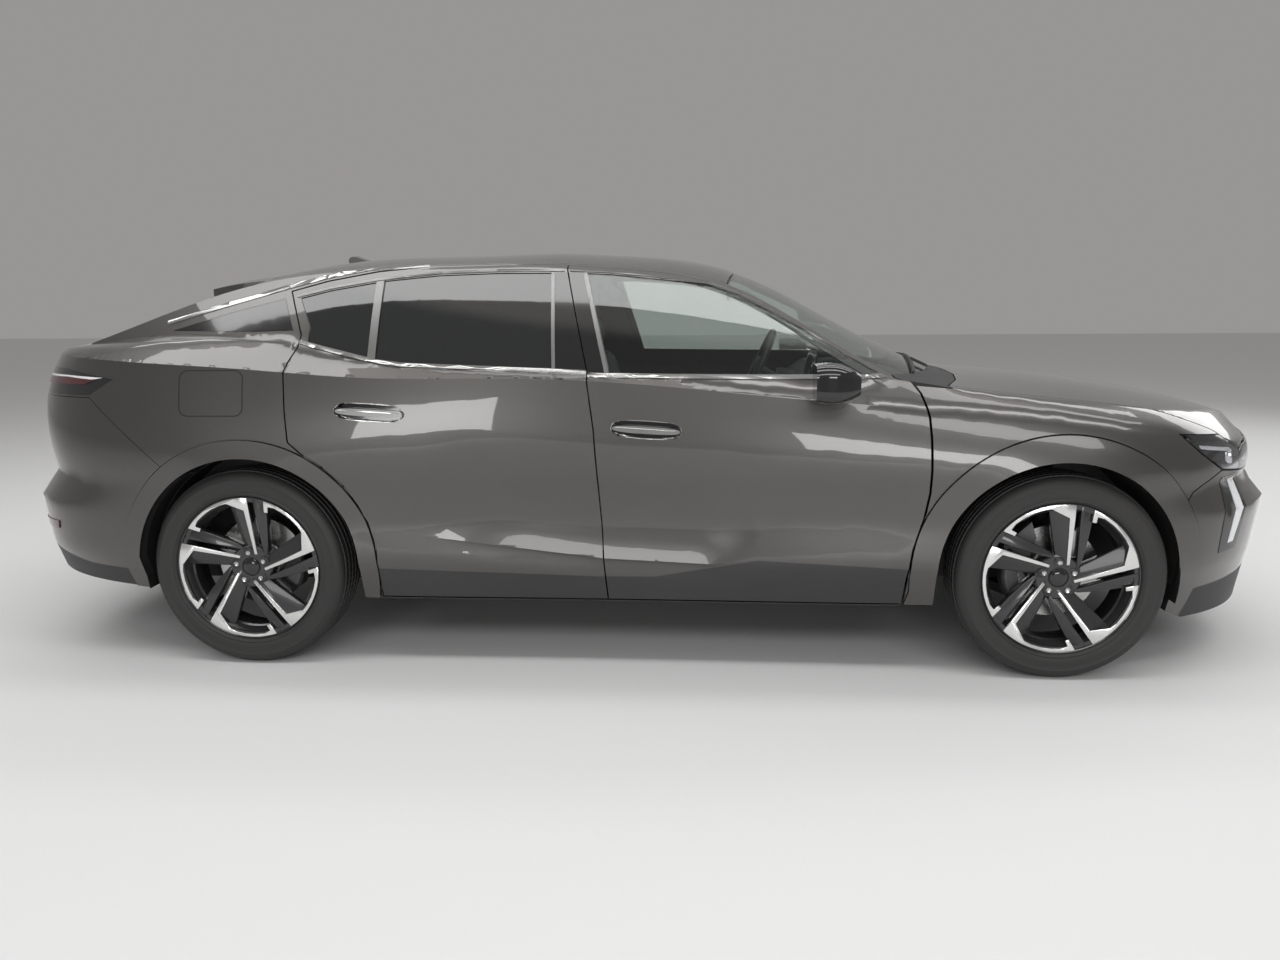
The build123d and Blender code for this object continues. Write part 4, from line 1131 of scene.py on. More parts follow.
# %% [markdown]
# The sides are read by their lines. The lower doors have a long press with a sharp lower crest, which
# catches the light from above. The crest is cut into each door's skin first, then the skin above it is
# pushed in, and the same rule later tilts the light that the skin shows.

# %% The press in the lower doors
PRESS_LINE = [(-0.740, 0.480), (-0.085, 0.407), (0.289, 0.391), (0.440, 0.409)]
PRESS_DEPTH, PRESS_RISE, PRESS_FADE, UNDERCUT = 0.021, 0.105, 0.300, 0.008
PRESS_START, PRESS_END, CREST_WIDTH, TUCK_HEIGHT = 0.42, 0.22, 0.009, 0.080
DOOR_MIDDLE, DOOR_GIVE = 0.840, 0.035
CUT_LIFTS = (-0.045, -0.020, -0.008, 0.0, PRESS_RISE / 2, PRESS_RISE)


def eased(t):
    t = max(0.0, min(1.0, t))
    return t * t * (3 - 2 * t)


def press_line(x):
    for (xa, za), (xb, zb) in zip(PRESS_LINE, PRESS_LINE[1:]):
        if x <= xb:
            return za + (zb - za) * (x - xa) / (xb - xa)
    return PRESS_LINE[-1][1]


def pressed(x, z):
    """How far the press lies below the door's plain surface."""
    above = z - press_line(x)
    if not PRESS_LINE[0][0] < x < PRESS_LINE[-1][0]:
        return 0.0
    reach = eased((x - PRESS_LINE[0][0]) / PRESS_START) * eased((PRESS_LINE[-1][0] - x) / PRESS_END)
    if above <= 0:
        return UNDERCUT * reach * (1 - math.exp(above / CREST_WIDTH)) * (1 - eased(-above / TUCK_HEIGHT))
    return PRESS_DEPTH * reach * math.sin(min(1.0, above / PRESS_RISE) * math.pi / 2) * (
        1 - eased((above - PRESS_RISE) / PRESS_FADE))


def press_lean(place, centre):
    """How the press tilts the surface at a corner, seen from inside the face that owns the corner."""
    if abs(place.y) < 0.7 or place.z > 0.9:
        return Vector((0, 0, 0))
    x, z, step = place.x * 0.8 + centre.x * 0.2, place.z * 0.8 + centre.z * 0.2, 0.001
    return Vector(((pressed(x + step, z) - pressed(x - step, z)) / (2 * step), 0,
                   (pressed(x, z + step) - pressed(x, z - step)) / (2 * step)))


# %% Cut the crest and push the skin in
def outer_side(centre, normal):
    return normal.y * centre.y > 0.3 * abs(centre.y)


for side in ("left", "right"):
    for door in ("front_door_", "rear_door_"):
        piece = skin(door + side)
        for (xa, za), (xb, zb) in zip(PRESS_LINE, PRESS_LINE[1:]):
            for lift in CUT_LIFTS:
                line_no = Vector((xb - xa, 0, zb - za)).cross(Vector((0, 1, 0))).normalized()
                pick(piece, lambda c, n: (outer_side(c, n) and xa - 0.03 < c.x < xb + 0.03
                                          and abs(c.z - press_line(c.x) - lift) < 0.08))
                bpy.ops.mesh.bisect(plane_co=(xa, 0, za + lift), plane_no=line_no)
                leave()
        for vertex in piece.data.vertices:
            corner = vertex.co
            share = max(0.0, min(1.0, (abs(corner.y) - DOOR_MIDDLE) / DOOR_GIVE))
            corner.y -= math.copysign(pressed(corner.x, corner.z) * share, corner.y)
print("doors pressed")

# %% [markdown]
# The pillar between the doors is gloss black, so that the windows read as one long dark band. Bare dark
# plastic covers the sills and rises to a point under the front door's press.

# %% Finishes and outlines of the side trim
SATIN_GREY = finish("satin_grey_trim", (0.20, 0.20, 0.20), (0.25, 0.25, 0.245), 0.3, 0.05, 0.7, 5.0, 900.0,
                    0.04)
SHADOW_GAP = finish("shadow_gap", (0.006, 0.006, 0.006), (0.010, 0.010, 0.010), 0.7, 0.05, 0.0, 5.0, 300.0,
                    0.1)


HANDLE_LEAN, OVAL_STEPS, OVAL_SQUARE = math.radians(3.5), 28, 2.8


def leaned(x, z, points):
    """An outline put at a place and leaned as the handles are."""
    c, s = math.cos(HANDLE_LEAN), math.sin(HANDLE_LEAN)
    return [(x + u * c + v * s, z - u * s + v * c) for u, v in points]


def swelled(share, size):
    return math.copysign(abs(share) ** (2 / OVAL_SQUARE), share) * size / 2


def oval(x, z, width, height):
    """An oval with full sides, as a handle's pocket has."""
    turns = [2 * math.pi * k / OVAL_STEPS for k in range(OVAL_STEPS)]
    return leaned(x, z, [(swelled(math.cos(a), width), swelled(math.sin(a), height)) for a in turns])


print("handle outlines of", OVAL_STEPS, "points")

# %% Zones on the doors and sills
FRONT, REAR, GLOSS = "front_door_", "rear_door_", FINISHES["gloss_black"]
HANDLES = {FRONT: (0.062, 0.848), REAR: (-0.878, 0.905)}
POCKET, GRIP, RIM = (0.232, 0.056), (0.226, 0.024), (0.238, 0.062)
DOOR_ZONES = [
    (FRONT, GLOSS, [(-0.156, 1.368), (-0.066, 1.030), (-0.160, 1.030), (-0.250, 1.368)]),
    (REAR, GLOSS, [(-0.284, 1.369), (-0.262, 1.040), (-0.110, 1.034), (-0.210, 1.369)]),
    (FRONT, SILL_PAINT, [(-0.120, 0.230), (-0.120, 0.340), (0.088, 0.341), (0.434, 0.406), (0.980, 0.381),
                         (0.980, 0.230)]),
    (REAR, SILL_PAINT, [(-0.920, 0.230), (-0.920, 0.362), (-0.050, 0.338), (-0.050, 0.230)]),
]
for side in ("left", "right"):
    for door, material, outline in DOOR_ZONES:
        zone(skin(door + side), outline, material, "side", lambda c, n: n.y * c.y > 0.05 * abs(c.y))
    # The handles carry painted light. The pocket round each handle is gloss black as painted shade in its
    # recess, and the grip is a lighter satin grey as a painted highlight on the body-coloured bar.
    for door, (x, z) in HANDLES.items():
        zone(skin(door + side), oval(x, z, *POCKET), GLOSS, "side", outer_side)
        zone(skin(door + side), oval(x, z, *GRIP), SATIN_GREY, "side", outer_side)
zone(skin("body_sides"), [(-0.950, 0.100), (-0.950, 0.252), (0.960, 0.252), (0.960, 0.100)], SILL_PAINT,
     "side", lambda c, n: abs(c.y) > 0.6)
print("doors zoned")


# %% [markdown]
# Bright strips draw the outline of the windows: one along the waist, one beside each pillar, and a thin one
# on each upper frame. Each is cut from the panel under it and raised by its own thickness, so it can't
# stand off the panel, and it rides on the door that it belongs to.

# %% Trim strips
def right_side(centre, normal):
    return centre.y < -0.5 and normal.y < -0.3


def strip_on(name, door, outline, material, thickness=0.004):
    strip = wrapped(name, door + "right", outline, "side", thickness, 0.0, right_side)
    return both_sides(strip, door + "{s}", "gloss_black", material)


def band(points, low, high):
    return [(x, z + low) for x, z in points] + [(x, z + high) for x, z in reversed(points)]


FRONT_TOP = [(0.880, 1.029), (0.633, 1.148), (0.365, 1.290), (0.258, 1.326), (-0.080, 1.362),
             (-0.220, 1.368)]
REAR_TOP = [(-0.240, 1.368), (-0.480, 1.369), (-0.682, 1.363), (-0.908, 1.341), (-1.075, 1.314),
            (-1.200, 1.285)]
STRIPS = [
    ("front_waist_trim", FRONT, BRIGHT_TRIM, 0.004,
     [(-0.160, 1.017), (-0.160, 1.031), (-0.068, 1.030), (0.380, 1.024), (0.897, 1.020), (0.925, 1.020),
      (0.925, 1.007), (0.380, 1.010), (-0.068, 1.016)]),
    ("rear_waist_trim", REAR, BRIGHT_TRIM, 0.004,
     [(-0.110, 1.024), (-0.110, 1.038), (-0.262, 1.046), (-0.785, 1.066), (-0.880, 1.078), (-0.908, 1.084),
      (-1.134, 1.135), (-1.180, 1.149), (-1.180, 1.134), (-1.134, 1.121), (-0.908, 1.070), (-0.880, 1.064),
      (-0.785, 1.052), (-0.262, 1.032)]),
    ("front_pillar_strip", FRONT, SATIN_GREY, 0.004,
     [(-0.158, 1.366), (-0.068, 1.030), (-0.082, 1.030), (-0.172, 1.366)]),
    ("rear_pillar_strip", REAR, SATIN_GREY, 0.004,
     [(-0.284, 1.368), (-0.262, 1.046), (-0.250, 1.046), (-0.272, 1.368)]),
    ("window_divider", REAR, SATIN_GREY, 0.004,
     [(-0.880, 1.078), (-0.880, 1.345), (-0.908, 1.341), (-0.908, 1.084)]),
    ("front_frame_trim", FRONT, SATIN_GREY, 0.003, band(FRONT_TOP, 0.004, 0.013)),
    ("rear_frame_trim", REAR, SATIN_GREY, 0.003, band(REAR_TOP, 0.004, 0.012)),
]
for name, door, material, thickness, outline in STRIPS:
    strip_on(name, door, outline, material, thickness)
ROOF_EDGE = [(0.940, 1.030), (0.640, 1.188), (0.380, 1.328), (0.262, 1.364), (0.140, 1.384),
             (-0.080, 1.402), (-0.231, 1.406), (-0.460, 1.406), (-0.700, 1.401), (-0.905, 1.384),
             (-1.090, 1.352), (-1.240, 1.316), (-1.470, 1.255), (-1.700, 1.190)]
both_sides(wrapped("roof_edge_trim", "body_sides", band(ROOF_EDGE, 0.004, 0.018), "side", 0.003, 0.0,
                   lambda c, n: c.y < -0.35 and n.y < 0.05 and n.z > -0.2), "body", "gloss_black",
           BRIGHT_TRIM)
print("placed", len(STRIPS), "strips on each side")


# %% Handle rims and the fuel flap
def ring_on(name, node, outer, inner, thickness):
    """A thin rim between two outlines on a panel's right-hand side."""
    piece = wrapped(name, node, outer, "side", thickness, 0.0, right_side)
    edit(piece)
    cut_outline(inner, "side")
    leave()
    delete_where(piece, lambda c, n: inside(c.x, c.z, inner))
    return piece


for door, (x, z) in HANDLES.items():
    both_sides(ring_on(door + "handle_rim", door + "right", oval(x, z, *RIM), oval(x, z, *POCKET), 0.0012),
               door + "{s}", "gloss_black", BRIGHT_TRIM)
    # A thin bright strip along the top of each handle is a painted highlight on the bar.
    strip_on(door + "handle_edge", door, leaned(x, z + 0.004, centred(0.205, 0.0035)), BRIGHT_TRIM, 0.0015)


def rounded_box(low, high, radius, steps=5):
    corners = ((high[0], high[1], 0), (low[0], high[1], 90), (low[0], low[1], 180), (high[0], low[1], 270))
    middle = ((low[0] + high[0]) / 2, (low[1] + high[1]) / 2)
    points = []
    for x, z, start in corners:
        cx, cz = x - math.copysign(radius, x - middle[0]), z - math.copysign(radius, z - middle[1])
        points += [(cx + radius * math.cos(math.radians(start + 90 * k / steps)),
                    cz + radius * math.sin(math.radians(start + 90 * k / steps))) for k in range(steps + 1)]
    return points


FLAP_LOW, FLAP_HIGH, FLAP_ROUND, SEAM = (-1.543, 0.891), (-1.317, 1.048), 0.030, 0.0035
inner_edge = rounded_box([v + SEAM for v in FLAP_LOW], [v - SEAM for v in FLAP_HIGH], FLAP_ROUND - SEAM)
flap = ring_on("fuel_flap_seam", "body_sides", rounded_box(FLAP_LOW, FLAP_HIGH, FLAP_ROUND), inner_edge,
               0.0006)
finish_piece(flap, "body", "body_paint", SHADOW_GAP)
print("side trim done")

# %% [markdown]
# Behind each tyre the arch runs out to the edge of the panel as one lining. Its near-black is darker than
# its bare plastic, and the extra dark is painted shade deep in the arch. Wipers lie at the foot of the
# windscreen, and a caliper grips each brake disc, where it shows through the spokes.

# %% Arch linings
def arc_shell(name, centre, radius, y_in, y_out, start, end, steps=40):
    begin = Vector((math.cos(math.radians(start)), 0, math.sin(math.radians(start)))) * radius
    profile = [(centre[0] + begin.x, y_in, centre[1] + begin.z),
               (centre[0] + begin.x, y_out, centre[1] + begin.z)]
    piece = spun(name, profile, (centre[0], 0, centre[1]), (0, 1, 0), steps, math.radians(end - start))
    apply_modifier(piece, "SOLIDIFY", thickness=0.002, offset=0.0)
    smooth(piece)
    return piece


ARCH_CENTRES, ARCH_REACH = {"front": 1.425, "rear": -1.336}, 0.401
LINING_Y = {"front": (-0.780, -0.868), "rear": (-0.782, -0.872)}
for end in ("front", "rear"):
    low, high = box_of("tyre_" + end + "_right")
    arch_x = ARCH_CENTRES[end]
    lining = arc_shell(end + "_arch_lining", (arch_x, (low.z + high.z) / 2), ARCH_REACH, LINING_Y[end][0],
                       LINING_Y[end][1], -12, 192)
    # The lining wears the shadow-gap near-black, darker than bare plastic, as painted shade deep in the
    # arch.
    both_sides(lining, "body", "dark_trim", SHADOW_GAP)
print("arches lined")

# %% Brake calipers
PAD_INNER, PAD_OUTER, PAD_DEPTH = 0.118, 0.172, 0.050


def caliper(name, end, start, sweep):
    low, high = box_of("tyre_" + end + "_right")
    hub_x, hub_z = (low.x + high.x) / 2, (low.z + high.z) / 2
    inner, outer, side_y = PAD_INNER, PAD_OUTER, (low.y + high.y) / 2
    turn = Matrix.Rotation(-math.radians(start), 4, "Y")
    profile = [turn @ Vector((r, y, 0)) + Vector((hub_x, 0, hub_z)) for r, y in
               ((inner, side_y - 0.012), (outer - 0.012, side_y - 0.016), (outer, side_y - 0.004),
                (outer, side_y + PAD_DEPTH), (inner, side_y + PAD_DEPTH), (inner, side_y - 0.012))]
    piece = spun(name, profile, (hub_x, 0, hub_z), (0, 1, 0), 12, math.radians(sweep))
    edit(piece, "EDGE")
    bpy.ops.mesh.select_all(action="DESELECT")
    bpy.ops.mesh.select_non_manifold()
    bpy.ops.mesh.edge_face_add()
    select_all()
    bpy.ops.mesh.normals_make_consistent(inside=False)
    leave()
    rounded(piece, 0.003, 2)
    return piece


both_sides(caliper("front_caliper", "front", 150, 60), "knuckle_{s}", "cast_metal")
both_sides(caliper("rear_caliper", "rear", -30, 50), "body", "cast_metal")
print("calipers placed")

# %% Wipers
BLADE_WIDE, ARM_WIDE, WIPER_THICK = 0.012, 0.018, 0.010


def wiper(name, foot, tip, arm_foot):
    def strip(a, b, width, lift):
        along = (Vector(b) - Vector(a)).normalized()
        over = Vector((-along.y, along.x)) * width / 2
        outline = [tuple(Vector(end) + over * way) for end, way in ((a, -1), (b, -1), (b, 1), (a, 1))]
        return wrapped(name, "windscreen", outline, "top", WIPER_THICK, lift, lambda c, n: n.z > 0.25)
    middle = tuple((Vector(foot) + Vector(tip)) / 2)
    pieces = [strip(foot, tip, BLADE_WIDE, 0.001), strip(arm_foot, middle, ARM_WIDE, 0.008)]
    return finish_piece(join(pieces, name), "body", "dark_trim")


wiper("wiper_right", (1.050, -0.020), (0.985, -0.610), (1.075, -0.330))
wiper("wiper_left", (1.045, 0.590), (1.060, 0.060), (1.085, 0.300))
print("wipers done")

# %% [markdown]
# The cabin shows through the clear front glass. Each seat is made of foam pads: a side outline is pushed
# across the seat, turned into an even mesh, and swollen as cloth under pressure, so that it crowns in the
# middle and pulls in at its corners. Sewn channels are pressed in afterwards, because the even mesh
# would lose them.

# %% Foam pads
VOXEL, BENCH_VOXEL, PRESSURE, FRAMES = 0.0105, 0.0155, 4.0, 20


PAD_ROUND, SWELL_QUALITY = 0.024, 3


def foam_pad(name, outline, y_low, y_high, cap=0.016, voxel=VOXEL):
    """A foam pad from its side outline; cap is how far a point may swell."""
    piece = plate(name, [(x, y_low, z) for x, z in outline], (0, y_high - y_low, 0), PAD_ROUND, 3)
    apply_modifier(piece, "REMESH", mode="VOXEL", voxel_size=voxel)
    start = [corner.co.copy() for corner in piece.data.vertices]
    only(piece)
    swell = piece.modifiers.new("swell", "CLOTH")
    swell.settings.use_pressure = True
    swell.settings.uniform_pressure_force = PRESSURE
    swell.settings.effector_weights.gravity = 0.0
    swell.settings.quality = SWELL_QUALITY
    swell.point_cache.frame_end = FRAMES
    for step in range(1, FRAMES + 1):
        bpy.context.scene.frame_set(step)
    bpy.ops.object.modifier_apply(modifier=swell.name)
    bpy.context.scene.frame_set(1)
    for corner, place in zip(piece.data.vertices, start):
        move = corner.co - place
        if move.length > cap:
            corner.co = place + move * (cap / move.length)
    apply_modifier(piece, "SUBSURF", levels=1, render_levels=1)
    smooth(piece, 60)
    return piece


def channels(piece, across=(), along=(), depth=0.007, width=0.007):
    """Press sewn lines into a pad: across holds Y places, along holds points and directions in X and Z."""
    outward = [corner.normal.copy() for corner in piece.data.vertices]
    for corner, normal in zip(piece.data.vertices, outward):
        push = 0.0
        for y in across:
            push = max(push, math.exp(-((corner.co.y - y) / width) ** 2))
        for (x, z), (dx, dz) in along:
            away = (corner.co.x - x) * dz - (corner.co.z - z) * dx
            push = max(push, math.exp(-(away / width) ** 2))
        corner.co -= normal * depth * push


def foam_finish(piece, mirrored):
    if mirrored:
        made = both_sides(piece, "body", "seat_fabric")
    else:
        made = [finish_piece(piece, "body", "seat_fabric")]
    return made


print("pads are meshed at", VOXEL, "and", BENCH_VOXEL, "m")

# %% [markdown]
# A front seat is a cushion, a backrest and a headrest on two bright posts, over a plastic base that slides
# on two rails. Two long channels run from front to back, and short ones cross them, as the seams of a real
# seat cover do.

# %% Front seat pads
SEAT_X, SEAT_Y, SEAT_HALF, HEAD_HALF, CHANNEL = 0.180, 0.370, 0.235, 0.115, 0.135
ACROSS_SLOPE, BACK_SLOPE = (0.05, 1.0), (1.0, 0.34)
seat_base = [(SEAT_X + 0.225, 0.448), (SEAT_X + 0.218, 0.535), (SEAT_X - 0.200, 0.512),
             (SEAT_X - 0.230, 0.440), (SEAT_X - 0.100, 0.418), (SEAT_X + 0.190, 0.430)]
seat_back = [(SEAT_X - 0.225, 0.545), (SEAT_X - 0.393, 1.045), (SEAT_X - 0.462, 1.045),
             (SEAT_X - 0.360, 0.470), (SEAT_X - 0.270, 0.460)]
cushion = foam_pad("front_cushion", seat_base, -SEAT_Y - SEAT_HALF, -SEAT_Y + SEAT_HALF)
channels(cushion, (-SEAT_Y - CHANNEL, -SEAT_Y + CHANNEL), [((SEAT_X + 0.03, 0.5), ACROSS_SLOPE)])
backrest = foam_pad("front_backrest", seat_back, -SEAT_Y - SEAT_HALF, -SEAT_Y + SEAT_HALF)
channels(backrest, (-SEAT_Y - CHANNEL, -SEAT_Y + CHANNEL),
         [((SEAT_X - 0.30, z), BACK_SLOPE) for z in (0.68, 0.80, 0.92)])
HEAD_X = SEAT_X - 0.440
head_outline = [(HEAD_X + 0.030, 1.070), (HEAD_X + 0.036, 1.130), (HEAD_X + 0.018, 1.192),
                (HEAD_X - 0.030, 1.192), (HEAD_X - 0.032, 1.070)]
headrest = foam_pad("front_headrest", head_outline, -SEAT_Y - HEAD_HALF, -SEAT_Y + HEAD_HALF, 0.010)
right_cushion = foam_finish(cushion, True)[0]
foam_finish(backrest, True)
foam_finish(headrest, True)
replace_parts(right_cushion, "front_seats")
print("front pads placed")

# %% Headrest posts, seat bases and rails
posts = join([spun("headrest_post", [(HEAD_X + r, -SEAT_Y + off, z) for r, z in
                                     ((0.0, 0.985), (0.006, 0.985), (0.006, 1.085), (0.0, 1.085))],
                   (HEAD_X, -SEAT_Y + off, 0), STRAIGHT_UP, 20) for off in (-0.055, 0.055)],
             "headrest_posts")
both_sides(posts, "body", "steel", BRIGHT_TRIM)


def soft_box(name, low, high, bevel=0.012):
    footprint = [(x, y, low[2]) for x, y in rectangle(low[0], low[1], high[0], high[1])]
    return plate(name, footprint, (0, 0, high[2] - low[2]), bevel, 3)


base = soft_box("front_seat_base", (SEAT_X - 0.225, -SEAT_Y - 0.185, 0.322),
                (SEAT_X + 0.185, -SEAT_Y + 0.185, 0.425))
rails = join([soft_box("seat_rail", (SEAT_X - 0.230, -SEAT_Y + off - 0.018, 0.287),
                       (SEAT_X + 0.190, -SEAT_Y + off + 0.018, 0.324), 0.004) for off in (-0.150, 0.150)],
             "front_seat_rails")
both_sides(base, "body", "soft_trim")
both_sides(rails, "body", "black_steel")
print("front seats padded")

# %% Rear bench
BENCH_BACK, BENCH_HALF, BENCH_CHANNELS = 0.880, 0.565, (-0.40, -0.165, 0.165, 0.40)
bench_base = [(x - BENCH_BACK, z + 0.005) for x, z in seat_base]
bench_back = [(x - BENCH_BACK, z + (0.020 if z > 1.0 else 0.0)) for x, z in seat_back]
bench = foam_pad("bench_cushion", bench_base, -BENCH_HALF, BENCH_HALF, 0.016, BENCH_VOXEL)
channels(bench, BENCH_CHANNELS, [((-0.67, 0.5), ACROSS_SLOPE)])
bench_rest = foam_pad("bench_backrest", bench_back, -BENCH_HALF, BENCH_HALF, 0.016, BENCH_VOXEL)
channels(bench_rest, BENCH_CHANNELS, [((-1.18, z), BACK_SLOPE) for z in (0.70, 0.86)])
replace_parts(foam_finish(bench, False)[0], "rear_bench")
foam_finish(bench_rest, False)
rear_head = foam_pad("rear_headrest", [(x - BENCH_BACK, z - 0.008) for x, z in head_outline], -0.095, 0.095,
                     0.010)
for y, label in ((-0.38, "right"), (0.0, "middle"), (0.38, "left")):
    twin = copied(rear_head, "rear_headrest_" + label, Matrix.Translation((0, y, 0)))
    foam_finish(twin, False)
bpy.data.objects.remove(rear_head)
plinth = soft_box("bench_plinth", (-0.925, -0.545, 0.322), (-0.515, 0.545, 0.432))
finish_piece(plinth, "body", "soft_trim")
print("rear bench padded")

# %% [markdown]
# The steering wheel is modelled flat round its own axis: a leather ring that is spun, a pad in the middle,
# three spokes and two switch pads. One matrix then leans the whole of it to the driver, on top of the
# solid wheel that it replaces.

# %% Steering wheel
WHEEL_PLACE = Matrix.Translation((0.470, 0.370, 0.960)) @ Matrix.Rotation(math.radians(-66.0), 4, "Y")
HAND_R = 0.178
ring = [(HAND_R + 0.0155 * math.cos(a), 0, 0.0150 * math.sin(a)) for a in
        (2 * math.pi * k / 18 for k in range(19))]
hand_rim = spun("hand_rim", ring, CENTRE, STRAIGHT_UP, 96)
horn_pad = plate("horn_pad", [(0.058 * math.cos(a) * (1.0 if math.cos(a) > 0 else 1.15),
                               0.066 * math.sin(a), -0.012)
                              for a in (2 * math.pi * k / 28 for k in range(28))],
                 (0, 0, 0.036), 0.010, 4)
arms = [plate("wheel_spoke", [(0.030, s * 0.045, -0.010), (0.022, s * 0.172, -0.006),
                              (-0.020, s * 0.172, -0.006), (-0.044, s * 0.045, -0.010)], (0, 0, 0.014),
              0.004, 2) for s in (1, -1)]
arms.append(plate("wheel_spoke", [(-0.045, -0.026, -0.010), (-0.045, 0.026, -0.010),
                                  (-0.171, 0.034, -0.006), (-0.171, -0.034, -0.006)], (0, 0, 0.013), 0.004,
                  2))
spokes = join(arms, "wheel_spokes")
pads = join([plate("switch_pad", [(0.016, s * 0.074, 0.004), (0.013, s * 0.128, 0.005),
                                  (-0.014, s * 0.128, 0.005), (-0.022, s * 0.074, 0.004)], (0, 0, 0.004),
                   0.002, 2) for s in (1, -1)],
            "wheel_switches")
shaft = spun("wheel_shaft", [(0.030, 0, -0.010), (0.026, 0, -0.030), (0.020, 0, -0.060),
                             (0.020, 0, -0.128)],
             CENTRE, STRAIGHT_UP, 40)
for piece, slot, material in ((hand_rim, "wheel_leather", None), (horn_pad, "soft_trim", None),
                              (spokes, "gloss_black", SATIN_TRIM), (pads, "gloss_black", None),
                              (shaft, "black_steel", None)):
    piece.data.transform(WHEEL_PLACE)
    finish_piece(piece, "steering_wheel", slot, material)
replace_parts(hand_rim, "steering_wheel")
shroud = spun("column_shroud", [(0.032, 0, -0.082), (0.042, 0, -0.084), (0.052, 0, -0.100),
                                (0.060, 0, -0.190), (0.030, 0, -0.192), (0.030, 0, -0.084),
                                (0.032, 0, -0.082)],
              CENTRE, STRAIGHT_UP, 48)
shroud.data.transform(WHEEL_PLACE)
finish_piece(shroud, "body", "soft_trim")
print("steering wheel done")


# %% [markdown]
# The dashboard has a thin bright strip from side to side, with four slatted vents under it. Two blank
# screens stand on it, and a console runs back between the seats. Only what shows through the side glass
# is modelled.

# %% Dashboard strip and vents
VENTS, VENT_HALF, VENT_LOW = (-0.66, -0.15, 0.15, 0.66), 0.055, 0.842
ROWS, ROW_STEP, ROW_HEIGHT = 4, 0.010, 0.005


def on_dashboard(name, outline, thickness):
    return wrapped(name, "dashboard", outline, "rear", thickness, 0.0, lambda c, n: n.x < -0.25)


dash_strip = on_dashboard("dash_strip", rectangle(-0.74, 0.884, 0.74, 0.902), 0.004)
finish_piece(dash_strip, "body", "gloss_black", SATIN_GREY)
vents = []
for y in VENTS:
    for row in range(ROWS):
        z = VENT_LOW + row * ROW_STEP
        vents.append(on_dashboard("vent", rectangle(y - VENT_HALF, z, y + VENT_HALF, z + ROW_HEIGHT),
                                  0.006))
finish_piece(join(vents, "dash_vents"), "body", "gloss_black")
print("dashboard has", len(VENTS), "vents")


# %% Screens, hood, console and cabin mirror
SCREEN_LEAN = 12


def screen(name, place, width, height):
    """A flat screen with a raised rim, leaning back from the driver."""
    face = plate(name, [(0, y, z) for y, z in centred(width, height)], (0.016, 0, 0), 0)
    pick(face, lambda c, n: n.x < -0.9)
    inset_and_push(0.007, (0.002, 0, 0))
    leave()
    rounded(face, 0.003, 2)
    face.data.transform(Matrix.Translation(place) @ Matrix.Rotation(math.radians(SCREEN_LEAN), 4, "Y"))
    return finish_piece(face, "body", "gloss_black")


screen("centre_screen", (0.668, 0.0, 1.000), 0.250, 0.100)
screen("driver_display", (0.715, 0.370, 1.010), 0.240, 0.080)
hood = plate("display_hood", [(0.700, 0.235, 1.048), (0.700, 0.505, 1.048), (0.840, 0.490, 1.012),
                              (0.840, 0.250, 1.012)], (0, 0, 0.008), 0.003, 2)
finish_piece(hood, "body", "soft_trim")
console = plate("centre_console", [(0.640, -0.105, 0.640), (0.150, -0.105, 0.560), (-0.150, -0.105, 0.560),
                                   (-0.150, -0.105, 0.330), (0.640, -0.105, 0.330)], (0, 0.210, 0), 0.014,
                3)
finish_piece(console, "body", "soft_trim")
mirror_glass = plate("cabin_mirror", [(0.330, -0.115, 1.262), (0.330, 0.115, 1.262), (0.326, 0.120, 1.318),
                                      (0.326, -0.120, 1.318)], (0.014, 0, 0), 0.005, 3)
finish_piece(mirror_glass, "body", "gloss_black")
print("screens, console and mirror placed")

# %% [markdown]
# When a door opens, its inner side shows: an armrest with a hollow to pull by, a bright inner handle, and a
# map pocket. They ride on their door.

# %% Door cards
CARD_Y, POCKET_Y = -0.836, -0.842


def door_card(label, door, x_low, x_high, z):
    """An armrest with a pull cup and a map pocket on a door's inner side."""
    rest = plate(label + "_armrest", [(x_low, CARD_Y, z), (x_high, CARD_Y, z + 0.02),
                                      (x_high - 0.05, -0.768, z + 0.02), (x_low + 0.06, -0.762, z)],
                 (0, 0, 0.058), 0.010, 3)
    pick(rest, lambda c, n: n.z > 0.9)
    inset_and_push(0.018, (0, 0, -0.012))
    leave()
    pocket = plate(label + "_pocket", [(x, POCKET_Y, height) for x, height in (
        (x_low + 0.02, 0.330), (x_high - 0.04, 0.330), (x_high - 0.06, 0.430), (x_low + 0.05, 0.415))],
                   (0, 0.050, 0), 0.012, 3)
    pull = plate(label + "_inner_handle", [(x_high - back, CARD_Y, z + rise) for back, rise in (
        (0.19, 0.135), (0.05, 0.140), (0.06, 0.162), (0.19, 0.157))], (0, 0.022, 0), 0.004, 2)
    for piece, slot, material in ((rest, "soft_trim", None), (pocket, "soft_trim", None),
                                  (pull, "gloss_black", SATIN_GREY)):
        both_sides(piece, door + "{s}", slot, material)


door_card("front_card", FRONT, 0.060, 0.660, 0.640)
door_card("rear_card", REAR, -0.800, -0.230, 0.660)
print("cabin done")

# %% [markdown]
# Gloss paint shows every change of slope as a line of light. The frame's panels meet along shared lines
# with a small change of slope, which real pressed steel spreads over a hand's width. So the surface
# directions of all outer panels are sampled together, and each corner of a painted panel takes the mean
# of the samples round it. Samples that lean by more than a real crease are left out, so the true edges
# stay sharp, and the light runs on from one panel to the next.

# %% Sample the panels
SAMPLE_STEP, REACH, CREASE = 0.022, 0.055, math.cos(math.radians(34))
MOST_STEPS, CELL = 60, SAMPLE_STEP * 0.7


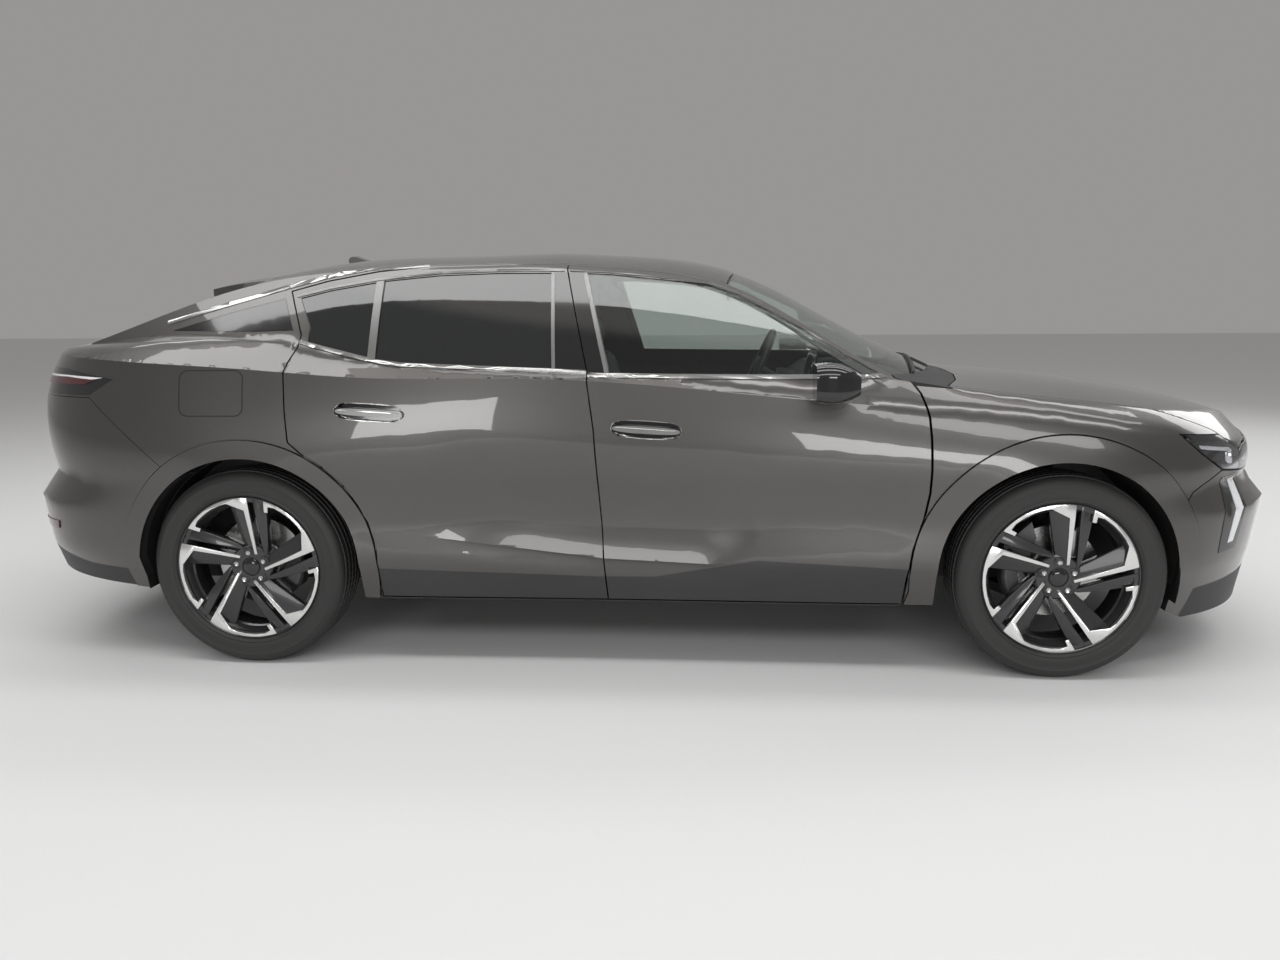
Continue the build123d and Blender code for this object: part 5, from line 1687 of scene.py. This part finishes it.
def surface_samples(name, outward):
    mesh = nodes[name].data
    normals = [tuple(corner.vector) for corner in mesh.corner_normals]
    found = []
    for face in mesh.polygons:
        if face.normal.dot(outward(face.center)) < 0.1:
            continue
        a, b, c = (mesh.vertices[v].co for v in face.vertices[:3])
        na, nb, nc = (Vector(normals[k]) for k in list(face.loop_indices)[:3])
        longest = max((b - a).length, (c - a).length, (c - b).length)
        steps = max(1, min(MOST_STEPS, int(longest / SAMPLE_STEP)))
        for i in range(steps):
            for j in range(steps - i):
                u, v = (i + 0.33) / steps, (j + 0.33) / steps
                found.append((a + (b - a) * u + (c - a) * v,
                              (na * (1 - u - v) + nb * u + nc * v).normalized()))
    return found


cells = {}
for name, _, outward in PANELS:
    for place, normal in surface_samples(name, outward):
        key = tuple(math.floor(v / CELL) for v in place) + tuple(round(v * 2) for v in normal)
        cells.setdefault(key, (place, normal))
samples = list(cells.values())
tree = KDTree(len(samples))
for index, (place, normal) in enumerate(samples):
    tree.insert(place, index)
tree.balance()
print("samples", len(samples))


# %% Spread the light over the panels
LEAST_SUPPORT, SAME_SIDE = 0.25, 0.5


def mean_direction(place, own):
    """The mean direction of the samples round a corner that lean as its own face does, or None."""
    total = Vector((0, 0, 0))
    for _, index, distance in tree.find_range(place, REACH):
        if samples[index][1].dot(own) > CREASE:
            total += samples[index][1] * (1 - (distance / REACH) ** 2) ** 2
    return total.normalized() if total.length > LEAST_SUPPORT else None


def spread_light(piece):
    mesh, outer, laid = piece.data, {}, []
    for face in mesh.polygons:
        for v in face.vertices:
            key = (v,) + tuple(round(part * 1.5) for part in face.normal)
            if key not in outer:
                outer[key] = mean_direction(mesh.vertices[v].co, face.normal)
            normal = outer[key]
            if normal is None or normal.dot(face.normal) < SAME_SIDE:
                normal = face.normal
            elif outer_side(face.center, normal):
                normal = (normal + press_lean(mesh.vertices[v].co, face.center)).normalized()
            laid.append(normal)
    mesh.normals_split_custom_set([tuple(n) for n in laid])


for name, _, _ in PANELS:
    spread_light(skin(name))
print("light spread over", len(PANELS), "panels")
